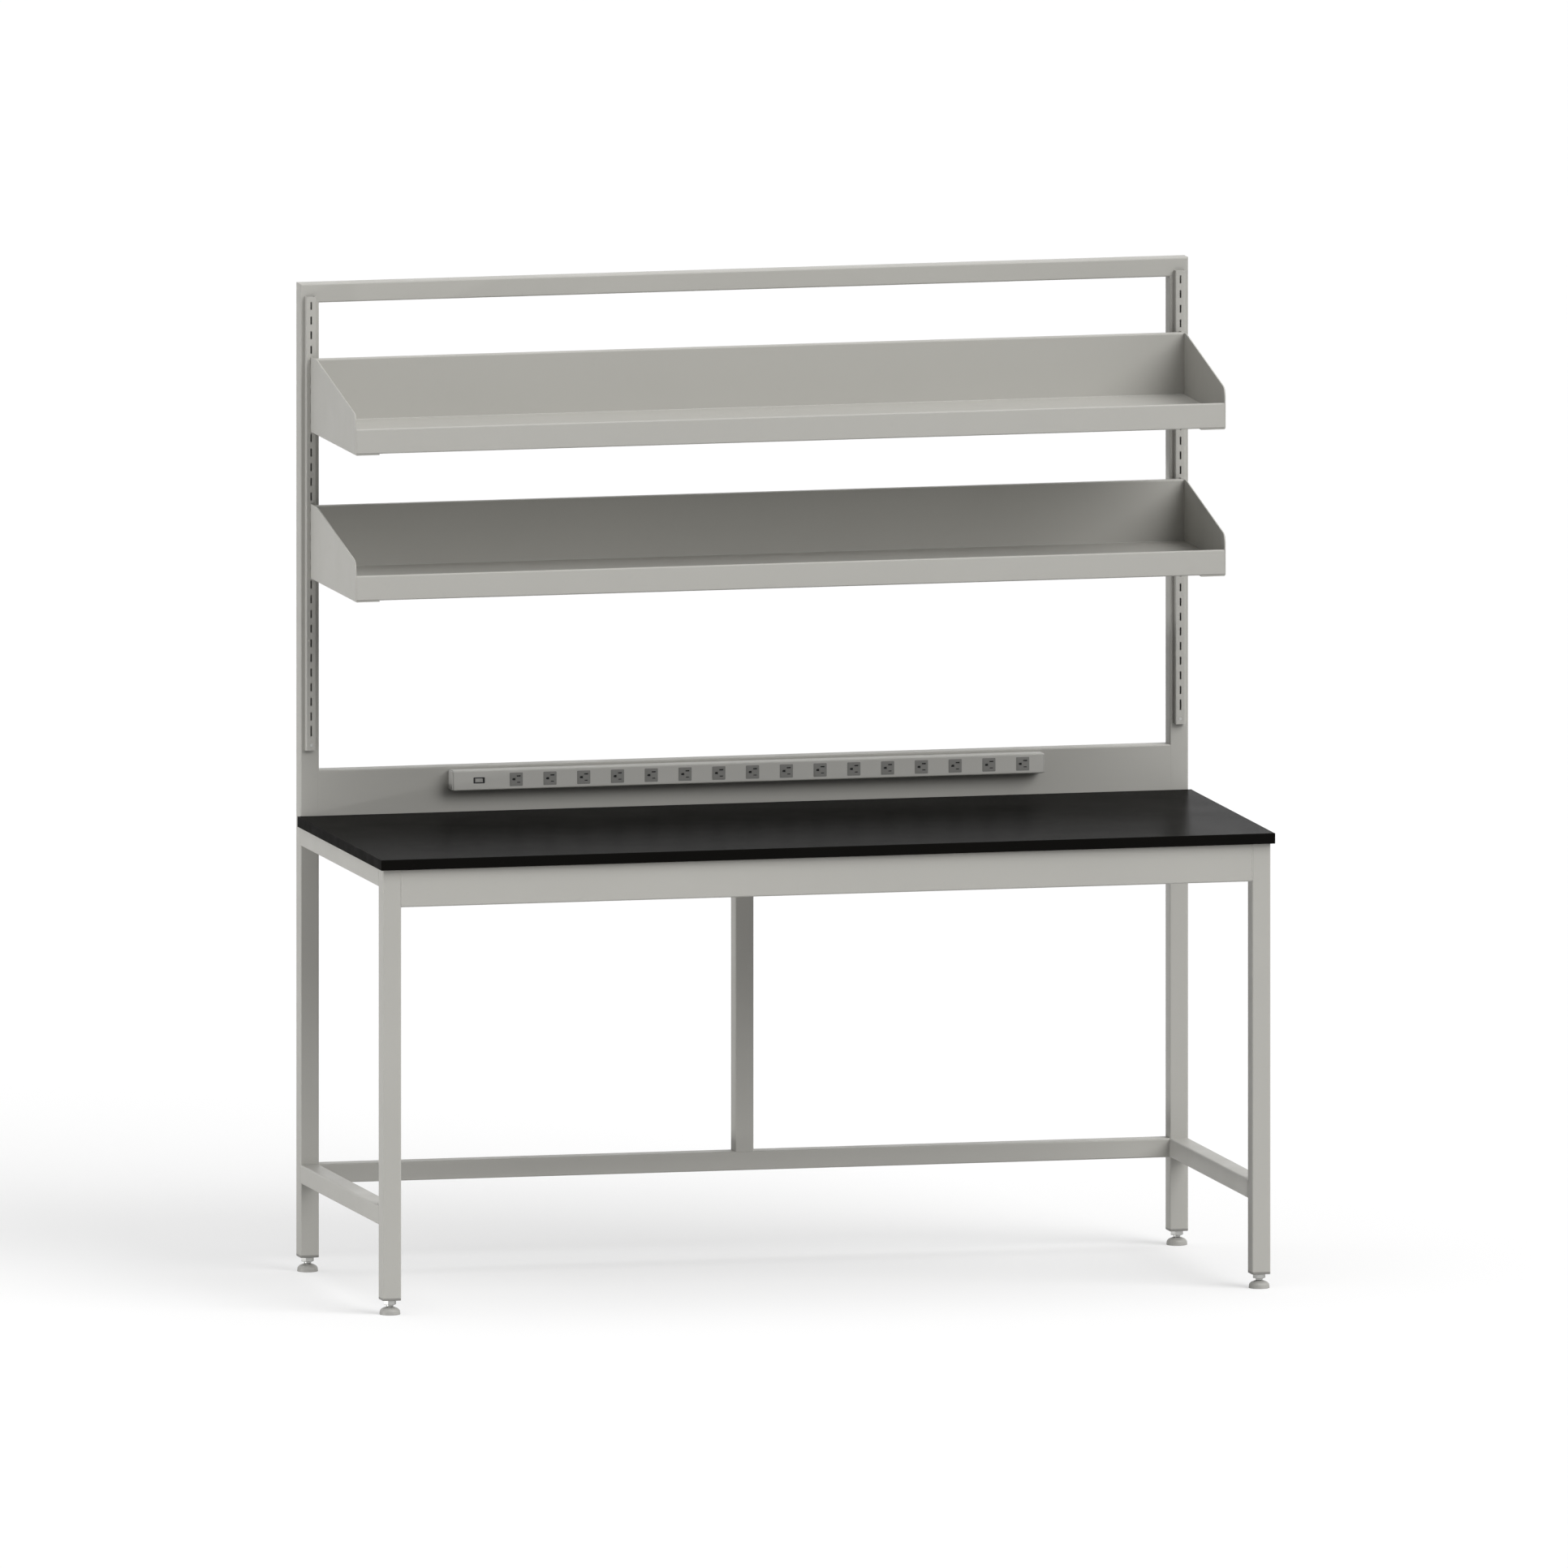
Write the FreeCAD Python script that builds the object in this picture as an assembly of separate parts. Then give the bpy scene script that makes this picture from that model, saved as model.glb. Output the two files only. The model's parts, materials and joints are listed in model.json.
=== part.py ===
import FreeCAD, Part
import math
import os

# Lab bench with two reagent shelves on slotted standards, a power strip on the upstand
# behind the worktop, and four levelling feet. Millimetres, +Z up, the front faces -Y.
# The origin is at the bottom centre of the whole bench, on the floor.

# overall
overall_height = 1981.2
top_width = 1828.8
top_depth = 711.2
worktop_height = 914.4
front_overhang = 12.7         # worktop beyond the front legs
side_overhang = 6.35          # and beyond the legs' outer faces

# square tube of the frame
tube = 38.1
tube_wall = 1.9
tube_radius = 3.2
apron_height = 76.2
lower_rail_height = 177.8     # floor to the underside of the lower rails

# worktop
top_thickness = 21.0
laminate_thickness = 0.9
backer_thickness = 0.7
edge_thickness = 2.0
edge_radius = 1.2
top_screw_inset = 130.0       # a rail's two screws, from its ends

# upstand panel
sheet = 1.5
bend = 1.5                    # inside radius of every fold in thin sheet
upstand_height = 91.0         # above the worktop
upstand_rear_flange = 25.0
upstand_foot_flange = 20.0

# slotted shelf standards
standard_width = 20.6
standard_depth = 12.0
standard_wall = 1.6
standard_top_gap = 24.4       # top of the frame to the top of a standard
standard_foot_gap = 41.4      # upstand panel to the bottom of a standard
long_slot_height = 21.0       # the lowest slot
slot_pitch = 29.4
first_slot = 18.2             # top of the standard to the first slot's centre
foot_screw = 11.0             # bottom of the standard to its lowest screw
slot_foot_margin = 24.0       # no slot's centre lower than this

# reagent shelves
shelf_slots = (8, 18)         # slot, counted from the top, that carries a bracket's lowest hook
shelf_names = ("upper", "lower")
hook_drop = 18.5              # bracket's underside below its lowest hook's slot
bracket_sheet = 2.5
bracket_height = 151.0
bracket_front_height = 82.0
bracket_reach = 391.0         # uprights' faces to the shelf's front
bracket_top_run = 62.0        # level stretch of a bracket's top, from the uprights' faces
bracket_nose_radius = 20.0
bracket_top_corner = 6.0
bracket_back_corner = 1.0
bracket_flange = 50.0
hook_rise = 8.0               # of a hook's neck
hook_nose = 7.0               # of a hook below its neck
hook_thickness = 5.0
hook_chamfer = 1.5
hook_side_gap = 0.35          # between a hook and its slot's sides
hook_lift_gap = 1.0           # left over in the slot's height when a hook passes through it
hook_step = 2                 # slots from one hook to the next
tray_floor = 28.0             # bracket's underside to the tray's floor
tray_back = 48.0              # uprights' faces to the tray's back
lip_top = 53.0
lip_return = 12.0
back_return = 14.0
shelf_screws_per_side = 3
shelf_screw_inset = 40.0      # from the bracket's front and the tray's back
fold_relief = 5.0             # end flanges start this far from the folds beside them

# levelling feet
foot_height = 29.0            # floor to the underside of a leg's end cap
cap_rim = 5.0
cap_plug = 26.0
cap_wall = 2.4
boss_wall = 2.6
insert_flats = 17.0
insert_length = 24.0
stem_radius = 6.0
foot_travel = 20.0
hex_flats = 22.0
hex_height = 9.0
pad_radius = 21.0
pad_height = 15.0
pad_side = 8.2                # height of the pad's sides
pad_draft = 1.0               # that they lean in
pad_shoulder = (3.8, 4.0)     # from the sides' top edge, in and up
pad_crown = 9.2               # radius of the pad's top
neck_radius = 7.0
collar_bevel = 1.2
ball_radius = 5.8
ball_height = 8.6
ball_neck_radius = 4.2
ball_rise = 4.0               # the ball's middle to its flat and to its neck

# power strip
strip_length = 1211.3
strip_height = 38.1
strip_depth = 32.0
strip_top_gap = 6.3           # upstand's top above the strip's
strip_sheet = 1.2
strip_bend = 1.0
strip_lip = 7.0
strip_cap = 3.0
lid_screw_count = 4
lid_screw_inset = 24.2        # strip's end to the back plate's outermost screw
lip_screw = 4.2               # housing's edge to its rear lips' screws
strip_plug = 8.0              # an end cap's reach into the housing
strip_plug_wall = 1.6
outlet_count = 16
first_outlet = 130.8          # strip's left end to the first outlet
last_outlet = 44.6            # and the last outlet to its right end
outlet_face = 27.0
outlet_proud = 1.5
outlet_corner = 1.5
outlet_body = 24.0
outlet_depth = 17.0
outlet_face_wall = 3.0
blade_spacing = 12.7
blade_inset = 5.0             # blade slots right of an outlet's middle
ground_inset = 6.0            # ground hole left of it
blade_length = 8.0
blade_width = 2.0
ground_radius = 2.6
ground_corner = 1.6
leaf = 0.6                    # thickness of the brass bars' leaves
leaf_reach = 12.0
leaf_grip = 0.2               # each leaf stands this far into its opening
clip_offset = 376.0           # clips from the strip's middle
clip_width = 14.0
clip_arm = 9.0
clip_bend = 0.2
inlet_radius = 5.0
inlet_collar = 3.0
inlet_wall = 1.0              # of the collar at its lip, and twice that at its root

# rocker switch
switch_place = 55.0           # strip's left end to the switch
bezel_width = 23.3
bezel_height = 12.2
bezel_proud = 1.5
bezel_corner = 1.5
bezel_lap = 1.2               # bezel beyond the switch's body
rocker_length = 15.6
rocker_height = 7.4
rocker_gap = 0.4
rocker_end_gap = 0.9
rocker_tilt = 9.0             # degrees either side of level
rocker_horn = 4.6             # pivot to the rocker's ends
rocker_dip = 3.6              # pivot to its middle
rocker_side = 0.5             # pivot to the bottom of its ends
rocker_draft = 0.8
rocker_foot = 2.6             # half width of its foot
rocker_foot_depth = 3.0
rocker_round = 0.5
pivot_depth = 4.0             # behind the bezel's front
switch_depth = 14.0
switch_floor = 1.5
axle_seat = 0.6               # axle's reach into each side of the switch
axle_radius = 1.2
terminal_thickness = 0.8
terminal_width = 4.8
terminal_reach = 5.0
terminal_tip = 1.0            # into the switch's well
terminal_places = (-5.0, 1.0) # from the switch's middle

# fits
over = 1.0                    # cutting tools run this far past what they cut
round_sag = 0.12              # furthest that a round's flats lie from its true curve
screw_sides = 6
stem_sides = 12
pad_sides = 24
gap = 0.3                     # between parts that move past each other
fit = 0.1                     # screws in their holes, inserts, plugs
thread_gap = 0.05
screw_radius = 2.0
screw_head = 3.6
screw_head_height = 2.0
screw_crown = 0.8             # a raised head's top, as a share of its rim
pan_head_height = 1.0
pan_screw_length = 5.0
standard_screw_bite = 6.0     # past the upright's face
wood_screw_radius = 2.4
wood_screw_head = 4.8
wood_screw_bite = 14.0

# planes and places
left, right = -1, 1
frame_width = top_width - 2 * side_overhang
total_depth = top_depth + tube / 2 + max(tube / 2, pad_radius)
front = -total_depth / 2
wall = front + top_depth                      # front faces of the uprights
back = wall + tube
leg_front = front + front_overhang
leg_y = leg_front + tube / 2
upright_y = wall + tube / 2
leg_x = frame_width / 2 - tube / 2
inner_x = frame_width / 2 - tube
frame_top = worktop_height - top_thickness
tube_bottom = foot_height + cap_rim
lower_rail_top = lower_rail_height + tube
standard_top = overall_height - standard_top_gap
standard_face = wall - standard_depth
upstand_top = worktop_height + upstand_height
standard_bottom = upstand_top + standard_foot_gap
slot_count = int((standard_top - first_slot - slot_foot_margin - standard_bottom) / slot_pitch) + 1
slot_width = bracket_sheet + 2 * hook_side_gap
slot_height = hook_rise + hook_nose + hook_lift_gap
hook_room = bracket_height - hook_drop + slot_height / 2 - hook_rise - bracket_back_corner
hook_count = int(hook_room / (hook_step * slot_pitch)) + 1
sides = (("left", left), ("right", right))
corners = (("front_left", left, leg_y), ("front_right", right, leg_y),
           ("rear_left", left, upright_y), ("rear_right", right, upright_y))


def at(axis, u, v, w):
    # u and v lie across the axis and w along it
    if axis == "x":
        return FreeCAD.Vector(w, u, v)
    if axis == "y":
        return FreeCAD.Vector(u, w, v)
    return FreeCAD.Vector(u, v, w)


def rounded(u, v, radius, inward, turn):
    # points of a corner's round, from its incoming side to its outgoing one
    if radius == 0:
        return [(u, v)]
    flat = 2 * math.acos(1 - round_sag / radius)
    count = max(1, math.ceil(abs(turn) / flat))
    cut = radius * math.tan(abs(turn) / 2)
    aside = math.copysign(math.pi / 2, turn)
    centre_u = u - cut * math.cos(inward) + radius * math.cos(inward + aside)
    centre_v = v - cut * math.sin(inward) + radius * math.sin(inward + aside)
    steps = [inward - aside + turn * n / count for n in range(count + 1)]
    return [(centre_u + radius * math.cos(step), centre_v + radius * math.sin(step)) for step in steps]


def loop(axis, points, w):
    # closed wire through (u, v, radius) corners, each rounded to its own radius
    ring = []
    for n, (u, v, radius) in enumerate(points):
        before, after = points[n - 1], points[(n + 1) % len(points)]
        inward = math.atan2(v - before[1], u - before[0])
        outward = math.atan2(after[1] - v, after[0] - u)
        turn = (outward - inward + math.pi) % (2 * math.pi) - math.pi
        ring += rounded(u, v, radius, inward, turn)
    # two rounds may meet in one point
    ring = [at(axis, *point, w) for n, point in enumerate(ring) if math.dist(point, ring[n - 1]) > 1e-6]
    return Part.makePolygon(ring + ring[:1])


def prism(axis, low, high, outline, *holes):
    # outline with holes, carried along the axis from low to high
    face = Part.makeFace([loop(axis, ring, low) for ring in (outline, *holes)], "Part::FaceMakerBullseye")
    return face.extrude(at(axis, 0, 0, high - low))


def rect(u0, u1, v0, v1, radius=0.0):
    return [(u0, v0, radius), (u1, v0, radius), (u1, v1, radius), (u0, v1, radius)]


def around(u, v, width, depth, radius=0.0):
    return rect(u - width / 2, u + width / 2, v - depth / 2, v + depth / 2, radius)


def clipped(u, v, width, depth, cut):
    # rectangle with its corners cut off at 45 degrees
    points = []
    for a, b, first in ((-1, -1, True), (1, -1, False), (1, 1, True), (-1, 1, False)):
        across = (u + a * width / 2, v + b * (depth / 2 - cut), 0)
        along = (u + a * (width / 2 - cut), v + b * depth / 2, 0)
        points += [across, along] if first else [along, across]
    return points


def hexagon(x, y, flats):
    reach = flats / math.sqrt(3)
    steps = [math.radians(60 * n) for n in range(6)]
    return [(x + reach * math.cos(step), y + reach * math.sin(step), 0) for step in steps]


def folded(path, thickness, inside):
    # outline of a sheet folded along a path, with its thickness to the left of it
    normals = []
    for (u0, v0), (u1, v1) in zip(path, path[1:]):
        run = math.hypot(u1 - u0, v1 - v0)
        normals.append(((v0 - v1) / run, (u1 - u0) / run))
    near, far = [], []
    for n, (u, v) in enumerate(path):
        first = normals[max(n - 1, 0)]
        second = normals[min(n, len(normals) - 1)]
        share = thickness / (1 + first[0] * second[0] + first[1] * second[1])
        is_end = n in (0, len(path) - 1)
        turns_left = first[0] * second[1] - first[1] * second[0] > 0
        outer, inner = inside + thickness, inside
        near_radius = 0.0 if is_end else (outer if turns_left else inner)
        far_radius = 0.0 if is_end else (inner if turns_left else outer)
        near.append((u, v, near_radius))
        far.append((u + (first[0] + second[0]) * share, v + (first[1] + second[1]) * share, far_radius))
    return near + far[::-1]


def turned(centre, axis, sides, *rings):
    # many-sided solid about a line through centre, from (radius, distance along it) rings
    angles = [math.pi * (2 * n + 1) / sides for n in range(sides)]
    spokes = [(math.cos(angle), math.sin(angle)) for angle in angles]
    levels = [[at("z", radius * u, radius * v, along) for u, v in spokes] for radius, along in rings]
    outlines = [levels[0], levels[-1]]
    for low, high in zip(levels, levels[1:]):
        outlines += [[low[n - 1], low[n], high[n], high[n - 1]] for n in range(sides)]
    faces = [Part.Face(Part.makePolygon(outline + outline[:1])) for outline in outlines]
    shell = Part.makeShell(faces)
    shell.sewShape()
    solid = Part.makeSolid(shell).removeSplitter()
    if solid.Volume < 0:
        solid.reverse()
    solid.Placement = FreeCAD.Placement(centre, FreeCAD.Rotation(along_z, axis))
    return solid


def rod(centre, axis, radius, length):
    return Part.makeCylinder(radius, length, centre, axis)


def clearing(radius, sides):
    # corner radius of a many-sided hole that a round of this radius turns in
    return radius / math.cos(math.pi / sides)


def screw_hole(centre, axis, radius, length):
    return turned(centre, axis, screw_sides, (radius, 0), (radius, length))


def cut_all(solid, tools):
    return solid.cut(Part.Compound(tools))


def fuse_all(first, others):
    return first.multiFuse(others).removeSplitter()


def group(solids):
    return Part.Compound(solids)


def bar(axis, u, v, low, high, width=tube, depth=tube):
    # hollow frame tube
    hollow = around(u, v, width - 2 * tube_wall, depth - 2 * tube_wall)
    return prism(axis, low, high, around(u, v, width, depth, tube_radius), hollow)


along_x = FreeCAD.Vector(1, 0, 0)
along_y = FreeCAD.Vector(0, 1, 0)
along_z = FreeCAD.Vector(0, 0, 1)
forward = FreeCAD.Vector(0, -1, 0)

nodes = {}

# screw places that more than one piece shares

rail_low, rail_high = leg_y + tube / 2, wall
rail_z = frame_top - tube / 2
top_screws = []
for x in (-leg_x, 0.0, leg_x):
    for y in (rail_low + top_screw_inset, rail_high - top_screw_inset):
        top_screws.append((x, y))


def slot_z(index):
    # centre of a slot, counted from the top
    return standard_top - first_slot - index * slot_pitch


standard_screw_z = [standard_bottom + foot_screw]
for lowest in shelf_slots:
    standard_screw_z.append((slot_z(lowest - 3) + slot_z(lowest - 2)) / 2)


# frame

def screw_tunnels(x):
    # clearance holes up through a rail for the worktop's screws
    radius = wood_screw_radius + fit
    places = [y for screw_x, y in top_screws if screw_x == x]
    start_z = frame_top - tube - over
    return [screw_hole(FreeCAD.Vector(x, y, start_z), along_z, radius, tube + 2 * over) for y in places]


def mitre(side, keeps_upright):
    # wedge cut from the upright or from the crossbar at a top corner
    outer, inner = side * (frame_width / 2 + over), side * (inner_x - over)
    high, low = overall_height + over, overall_height - tube - over
    third = (inner, high, 0) if keeps_upright else (outer, low, 0)
    return prism("y", wall - over, back + over, [(outer, high, 0), third, (inner, low, 0)])


def upright(side):
    solid = bar("z", side * leg_x, upright_y, tube_bottom, overall_height)
    holes = [mitre(side, True)]
    for z in standard_screw_z:
        start = FreeCAD.Vector(side * leg_x, wall - over, z)
        holes.append(screw_hole(start, along_y, screw_radius + thread_gap, tube_wall + 2 * over))
    return cut_all(solid, holes)


for name, side in sides:
    nodes["front_leg_" + name] = bar("z", side * leg_x, leg_y, tube_bottom, frame_top)
    nodes["rear_upright_" + name] = upright(side)
    top_rail = bar("y", side * leg_x, rail_z, rail_low, rail_high)
    nodes["side_top_rail_" + name] = cut_all(top_rail, screw_tunnels(side * leg_x))
    low_z = lower_rail_height + tube / 2
    nodes["side_lower_rail_" + name] = bar("y", side * leg_x, low_z, rail_low, rail_high)

crossbar = bar("x", upright_y, overall_height - tube / 2, -frame_width / 2, frame_width / 2)
nodes["top_crossbar"] = cut_all(crossbar, [mitre(left, False), mitre(right, False)])
apron_z = frame_top - apron_height / 2
nodes["front_apron_rail"] = bar("x", leg_y, apron_z, -inner_x, inner_x, tube, apron_height)
nodes["rear_top_rail"] = bar("x", upright_y, rail_z, -inner_x, inner_x)
nodes["rear_lower_rail"] = bar("x", upright_y, lower_rail_height + tube / 2, -inner_x, inner_x)
nodes["rear_centre_leg"] = bar("z", 0, upright_y, lower_rail_top, frame_top - tube)
nodes["worktop_bearer"] = cut_all(bar("y", 0, rail_z, rail_low, rail_high), screw_tunnels(0.0))


# upstand panel, folded from one sheet, with a row of screw holes for the strip's clips

clip_screw_z = upstand_top - strip_top_gap - strip_height / 2
clip_places = (-clip_offset, clip_offset)

panel_path = [
    (back, upstand_top - upstand_rear_flange),
    (back, upstand_top),
    (wall, upstand_top),
    (wall, frame_top),
    (wall + upstand_foot_flange, frame_top),
]
panel = prism("x", -inner_x, inner_x, folded(panel_path, sheet, bend))
panel_holes = []
for x in clip_places:
    start = FreeCAD.Vector(x, wall - over, clip_screw_z)
    panel_holes.append(screw_hole(start, along_y, screw_radius + fit, sheet + 2 * over))
nodes["upstand_panel"] = cut_all(panel, panel_holes)


# worktop

half_top = top_width / 2
board = rect(-half_top + edge_thickness, half_top - edge_thickness,
             front + edge_thickness, wall - edge_thickness)
core_bottom = frame_top + backer_thickness
core_top = worktop_height - laminate_thickness
pilots = []
backer_holes = []
for x, y in top_screws:
    start = FreeCAD.Vector(x, y, frame_top - over)
    pilots.append(screw_hole(start, along_z, wood_screw_radius + thread_gap, over + wood_screw_bite + fit))
    backer_holes.append(screw_hole(start, along_z, wood_screw_radius + fit, backer_thickness + 2 * over))
nodes["worktop_core"] = cut_all(prism("z", core_bottom, core_top, board), pilots)
nodes["worktop_laminate"] = prism("z", core_top, worktop_height, board)
nodes["worktop_backer"] = cut_all(prism("z", frame_top, core_bottom, board), backer_holes)


def edge_strip(axis, outer, inner, low, high, radius):
    # band with its outer arrises rounded
    shape = [(outer, frame_top, radius), (outer, worktop_height, radius),
             (inner, worktop_height, 0), (inner, frame_top, 0)]
    return prism(axis, low, high, shape)


inside = front + edge_thickness
nodes["worktop_edge_front"] = edge_strip("x", front, inside, -half_top, half_top, edge_radius)
nodes["worktop_edge_rear"] = edge_strip("x", wall, wall - edge_thickness, -half_top, half_top, 0)
for name, side in sides:
    outer, inner = side * half_top, side * (half_top - edge_thickness)
    nodes["worktop_edge_" + name] = edge_strip(
        "y", outer, inner, inside, wall - edge_thickness, edge_radius)

wood_screw = (
    (wood_screw_head * screw_crown, -screw_head_height), (wood_screw_head, 0),
    (wood_screw_radius, 0), (wood_screw_radius, tube + wood_screw_bite),
)
nodes["worktop_screws"] = group([
    turned(FreeCAD.Vector(x, y, frame_top - tube), along_z, screw_sides, *wood_screw) for x, y in top_screws])


# slotted standards: a channel with its open side on the upright

def standard(side):
    x = side * leg_x
    path = [(x - standard_width / 2, wall), (x - standard_width / 2, standard_face),
            (x + standard_width / 2, standard_face), (x + standard_width / 2, wall)]
    channel = prism("z", standard_bottom, standard_top, folded(path, standard_wall, standard_wall / 2))
    tools = []
    for index in range(slot_count):
        height = long_slot_height if index == slot_count - 1 else slot_height
        slot = around(x, slot_z(index), slot_width, height)
        tools.append(prism("y", standard_face - over, standard_face + standard_wall + over, slot))
    wide, narrow = screw_head + fit, screw_radius + fit
    sink = ((wide, -over), (wide, 0), (narrow, standard_wall), (narrow, standard_wall + over))
    for z in standard_screw_z:
        tools.append(turned(FreeCAD.Vector(x, standard_face, z), along_y, screw_sides, *sink))
    return cut_all(channel, tools)


sunk_screw = (
    (screw_head, 0), (screw_radius, standard_wall), (screw_radius, standard_depth + standard_screw_bite))
screws = []
for name, side in sides:
    nodes["shelf_standard_" + name] = standard(side)
    for z in standard_screw_z:
        place = FreeCAD.Vector(side * leg_x, standard_face, z)
        screws.append(turned(place, along_y, screw_sides, *sunk_screw))
nodes["standard_screws"] = group(screws)


# reagent shelves

def shelf_base(lowest):
    # underside of the brackets whose lowest hook hangs in this slot
    return slot_z(lowest) - hook_drop


def hook(y_plate, x0, x1, seat):
    # neck through the slot and a nose behind the channel's web
    web_back = standard_face + standard_wall
    nose_front = web_back + gap
    nose_back = nose_front + hook_thickness
    top = seat + hook_rise
    tip = seat - hook_nose
    root = y_plate - over
    shape = [(root, seat, 0), (nose_front, seat, 0), (nose_front, tip, 0), (nose_back, tip, 0),
             (nose_back, top - hook_chamfer, 0), (nose_back - hook_chamfer, top, 0), (root, top, 0)]
    return prism("x", x0, x1, shape)


def bracket(side, base, lowest):
    # folded plate with a bottom flange, cut to the shelf's side outline, with hooks behind
    plate_back = standard_face - gap
    plate_front = wall - bracket_reach
    outer = side * (leg_x + bracket_sheet / 2)
    inner = outer - side * bracket_sheet
    path = [(outer - side * bracket_flange, base), (outer, base), (outer, base + bracket_height + over)]
    if side == left:
        path.reverse()
    blank = prism("y", plate_front, plate_back, folded(path, bracket_sheet, bend))
    top = base + bracket_height
    outline = [(plate_front, base - over, 0), (plate_back, base - over, 0),
               (plate_back, top, bracket_back_corner),
               (wall - bracket_top_run, top, bracket_top_corner),
               (plate_front, base + bracket_front_height, bracket_nose_radius)]
    reach = sorted((outer + side * over, outer - side * (bracket_flange + over)))
    shape = blank.common(prism("x", *reach, outline))
    hooks = []
    for step in range(hook_count):
        seat = slot_z(lowest - hook_step * step) - slot_height / 2
        hooks.append(hook(plate_back, min(outer, inner), max(outer, inner), seat))
    shape = fuse_all(shape, hooks)
    places = shelf_screw_places(base, min(outer, inner) - over)
    return cut_all(shape, [
        screw_hole(place, along_x, screw_radius + fit, bracket_sheet + 2 * over) for place in places])


def shelf_screw_places(base, x):
    z = base + (tray_floor + bracket_sheet) / 2
    low, high = wall - bracket_reach + shelf_screw_inset, wall - tray_back - shelf_screw_inset
    steps = [low + (high - low) * n / (shelf_screws_per_side - 1) for n in range(shelf_screws_per_side)]
    return [FreeCAD.Vector(x, y, z) for y in steps]


tray_half = leg_x - bracket_sheet / 2
lip_depth = 2 * sheet + 2 * bend


def tray(base):
    # one folded sheet: rolled lip, floor and high back, with a turned-down flange at each end
    lip = wall - bracket_reach
    rear = wall - tray_back + sheet
    seat = base + bracket_sheet
    path = [
        (lip + lip_depth, base + lip_top - lip_return),
        (lip + lip_depth, base + lip_top),
        (lip, base + lip_top),
        (lip, seat),
        (lip + lip_depth, seat),
        (lip + lip_depth, base + tray_floor - sheet),
        (rear, base + tray_floor - sheet),
        (rear, base + bracket_height - sheet),
        (rear + back_return, base + bracket_height - sheet),
    ]
    body = prism("x", -tray_half, tray_half, folded(path, sheet, bend))
    ends = []
    for side in (left, right):
        outer = side * tray_half
        end = rect(*sorted((outer, outer - side * sheet)), seat + bend, base + tray_floor - sheet / 2)
        ends.append(prism("y", lip + lip_depth + fold_relief, rear - fold_relief, end))
    body = fuse_all(body, ends)
    holes = []
    for side in (left, right):
        # notch that clears the bracket's fold
        reach = sorted((side * (tray_half - bend), side * (tray_half + over)))
        notch = rect(*reach, seat - over, seat + 2 * bend)
        holes.append(prism("y", lip - over, lip + lip_depth + over, notch))
    for x in (-tray_half - over, tray_half - sheet - over):
        holes += [screw_hole(place, along_x, screw_radius + fit, sheet + 2 * over)
                  for place in shelf_screw_places(base, x)]
    return cut_all(body, holes)


shelf_screw = (
    (screw_head * screw_crown, -screw_head_height), (screw_head, 0),
    (screw_radius, 0), (screw_radius, sheet + bracket_sheet),
)
for name, lowest in zip(shelf_names, shelf_slots):
    base = shelf_base(lowest)
    nodes["shelf_tray_" + name] = tray(base)
    screws = []
    for side_name, side in sides:
        nodes["bracket_" + name + "_" + side_name] = bracket(side, base, lowest)
        for place in shelf_screw_places(base, side * (tray_half - sheet)):
            screws.append(turned(place, along_x * side, screw_sides, *shelf_screw))
    nodes["shelf_screws_" + name] = group(screws)


# levelling feet

def end_cap(x, y):
    # moulded plug: rim under the tube, four walls inside it and a boss for the insert
    rim_top = foot_height + cap_rim
    plug = tube - 2 * tube_wall - 2 * fit
    rim = prism("z", foot_height, rim_top, around(x, y, tube, tube, tube_radius))
    walls = prism("z", rim_top, rim_top + cap_plug, around(x, y, plug, plug),
                  around(x, y, plug - 2 * cap_wall, plug - 2 * cap_wall))
    boss = prism("z", rim_top, foot_height + insert_length, hexagon(x, y, insert_flats + 2 * boss_wall))
    room = hexagon(x, y, insert_flats + 2 * fit)
    bore = prism("z", foot_height - over, foot_height + insert_length + over, room)
    return fuse_all(rim, [walls, boss]).cut(bore)


def threaded_insert(x, y):
    body = prism("z", foot_height, foot_height + insert_length, hexagon(x, y, insert_flats))
    start = FreeCAD.Vector(x, y, foot_height)
    return body.cut(rod(start, along_z, stem_radius + thread_gap, insert_length))


def stem(x, y):
    # ball end, neck, collar, hexagon and round shank in one
    hex_top = foot_height - gap
    hex_low = hex_top - hex_height
    collar_low = pad_height + gap
    shank_length = insert_length + foot_travel + gap
    end = turned(
        FreeCAD.Vector(x, y, 0), along_z, stem_sides,
        (ball_rise, ball_height - ball_rise), (ball_radius, ball_height),
        (ball_neck_radius, ball_height + ball_rise), (ball_neck_radius, collar_low),
        (neck_radius, collar_low + collar_bevel), (neck_radius, hex_low))
    nut = prism("z", hex_low, hex_top, hexagon(x, y, hex_flats))
    shank = rod(FreeCAD.Vector(x, y, hex_top), along_z, stem_radius, shank_length)
    return fuse_all(end, [nut, shank])


def pad(x, y):
    # stepped dome with a socket for the stem's ball
    middle = FreeCAD.Vector(x, y, 0)
    edge = pad_radius - pad_draft
    inward, up = pad_shoulder
    shape = turned(
        middle, along_z, pad_sides, (pad_radius, 0), (edge, pad_side),
        (edge - inward, pad_side + up), (pad_crown, pad_height))
    base = clearing(ball_rise + gap, stem_sides)
    room = clearing(ball_radius + gap, stem_sides)
    mouth = clearing(ball_neck_radius + gap, stem_sides)
    return shape.cut(turned(
        middle, along_z, stem_sides, (base, ball_height - ball_rise), (room, ball_height),
        (mouth, ball_height + ball_rise + 2 * gap), (mouth, pad_height + over)))


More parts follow.
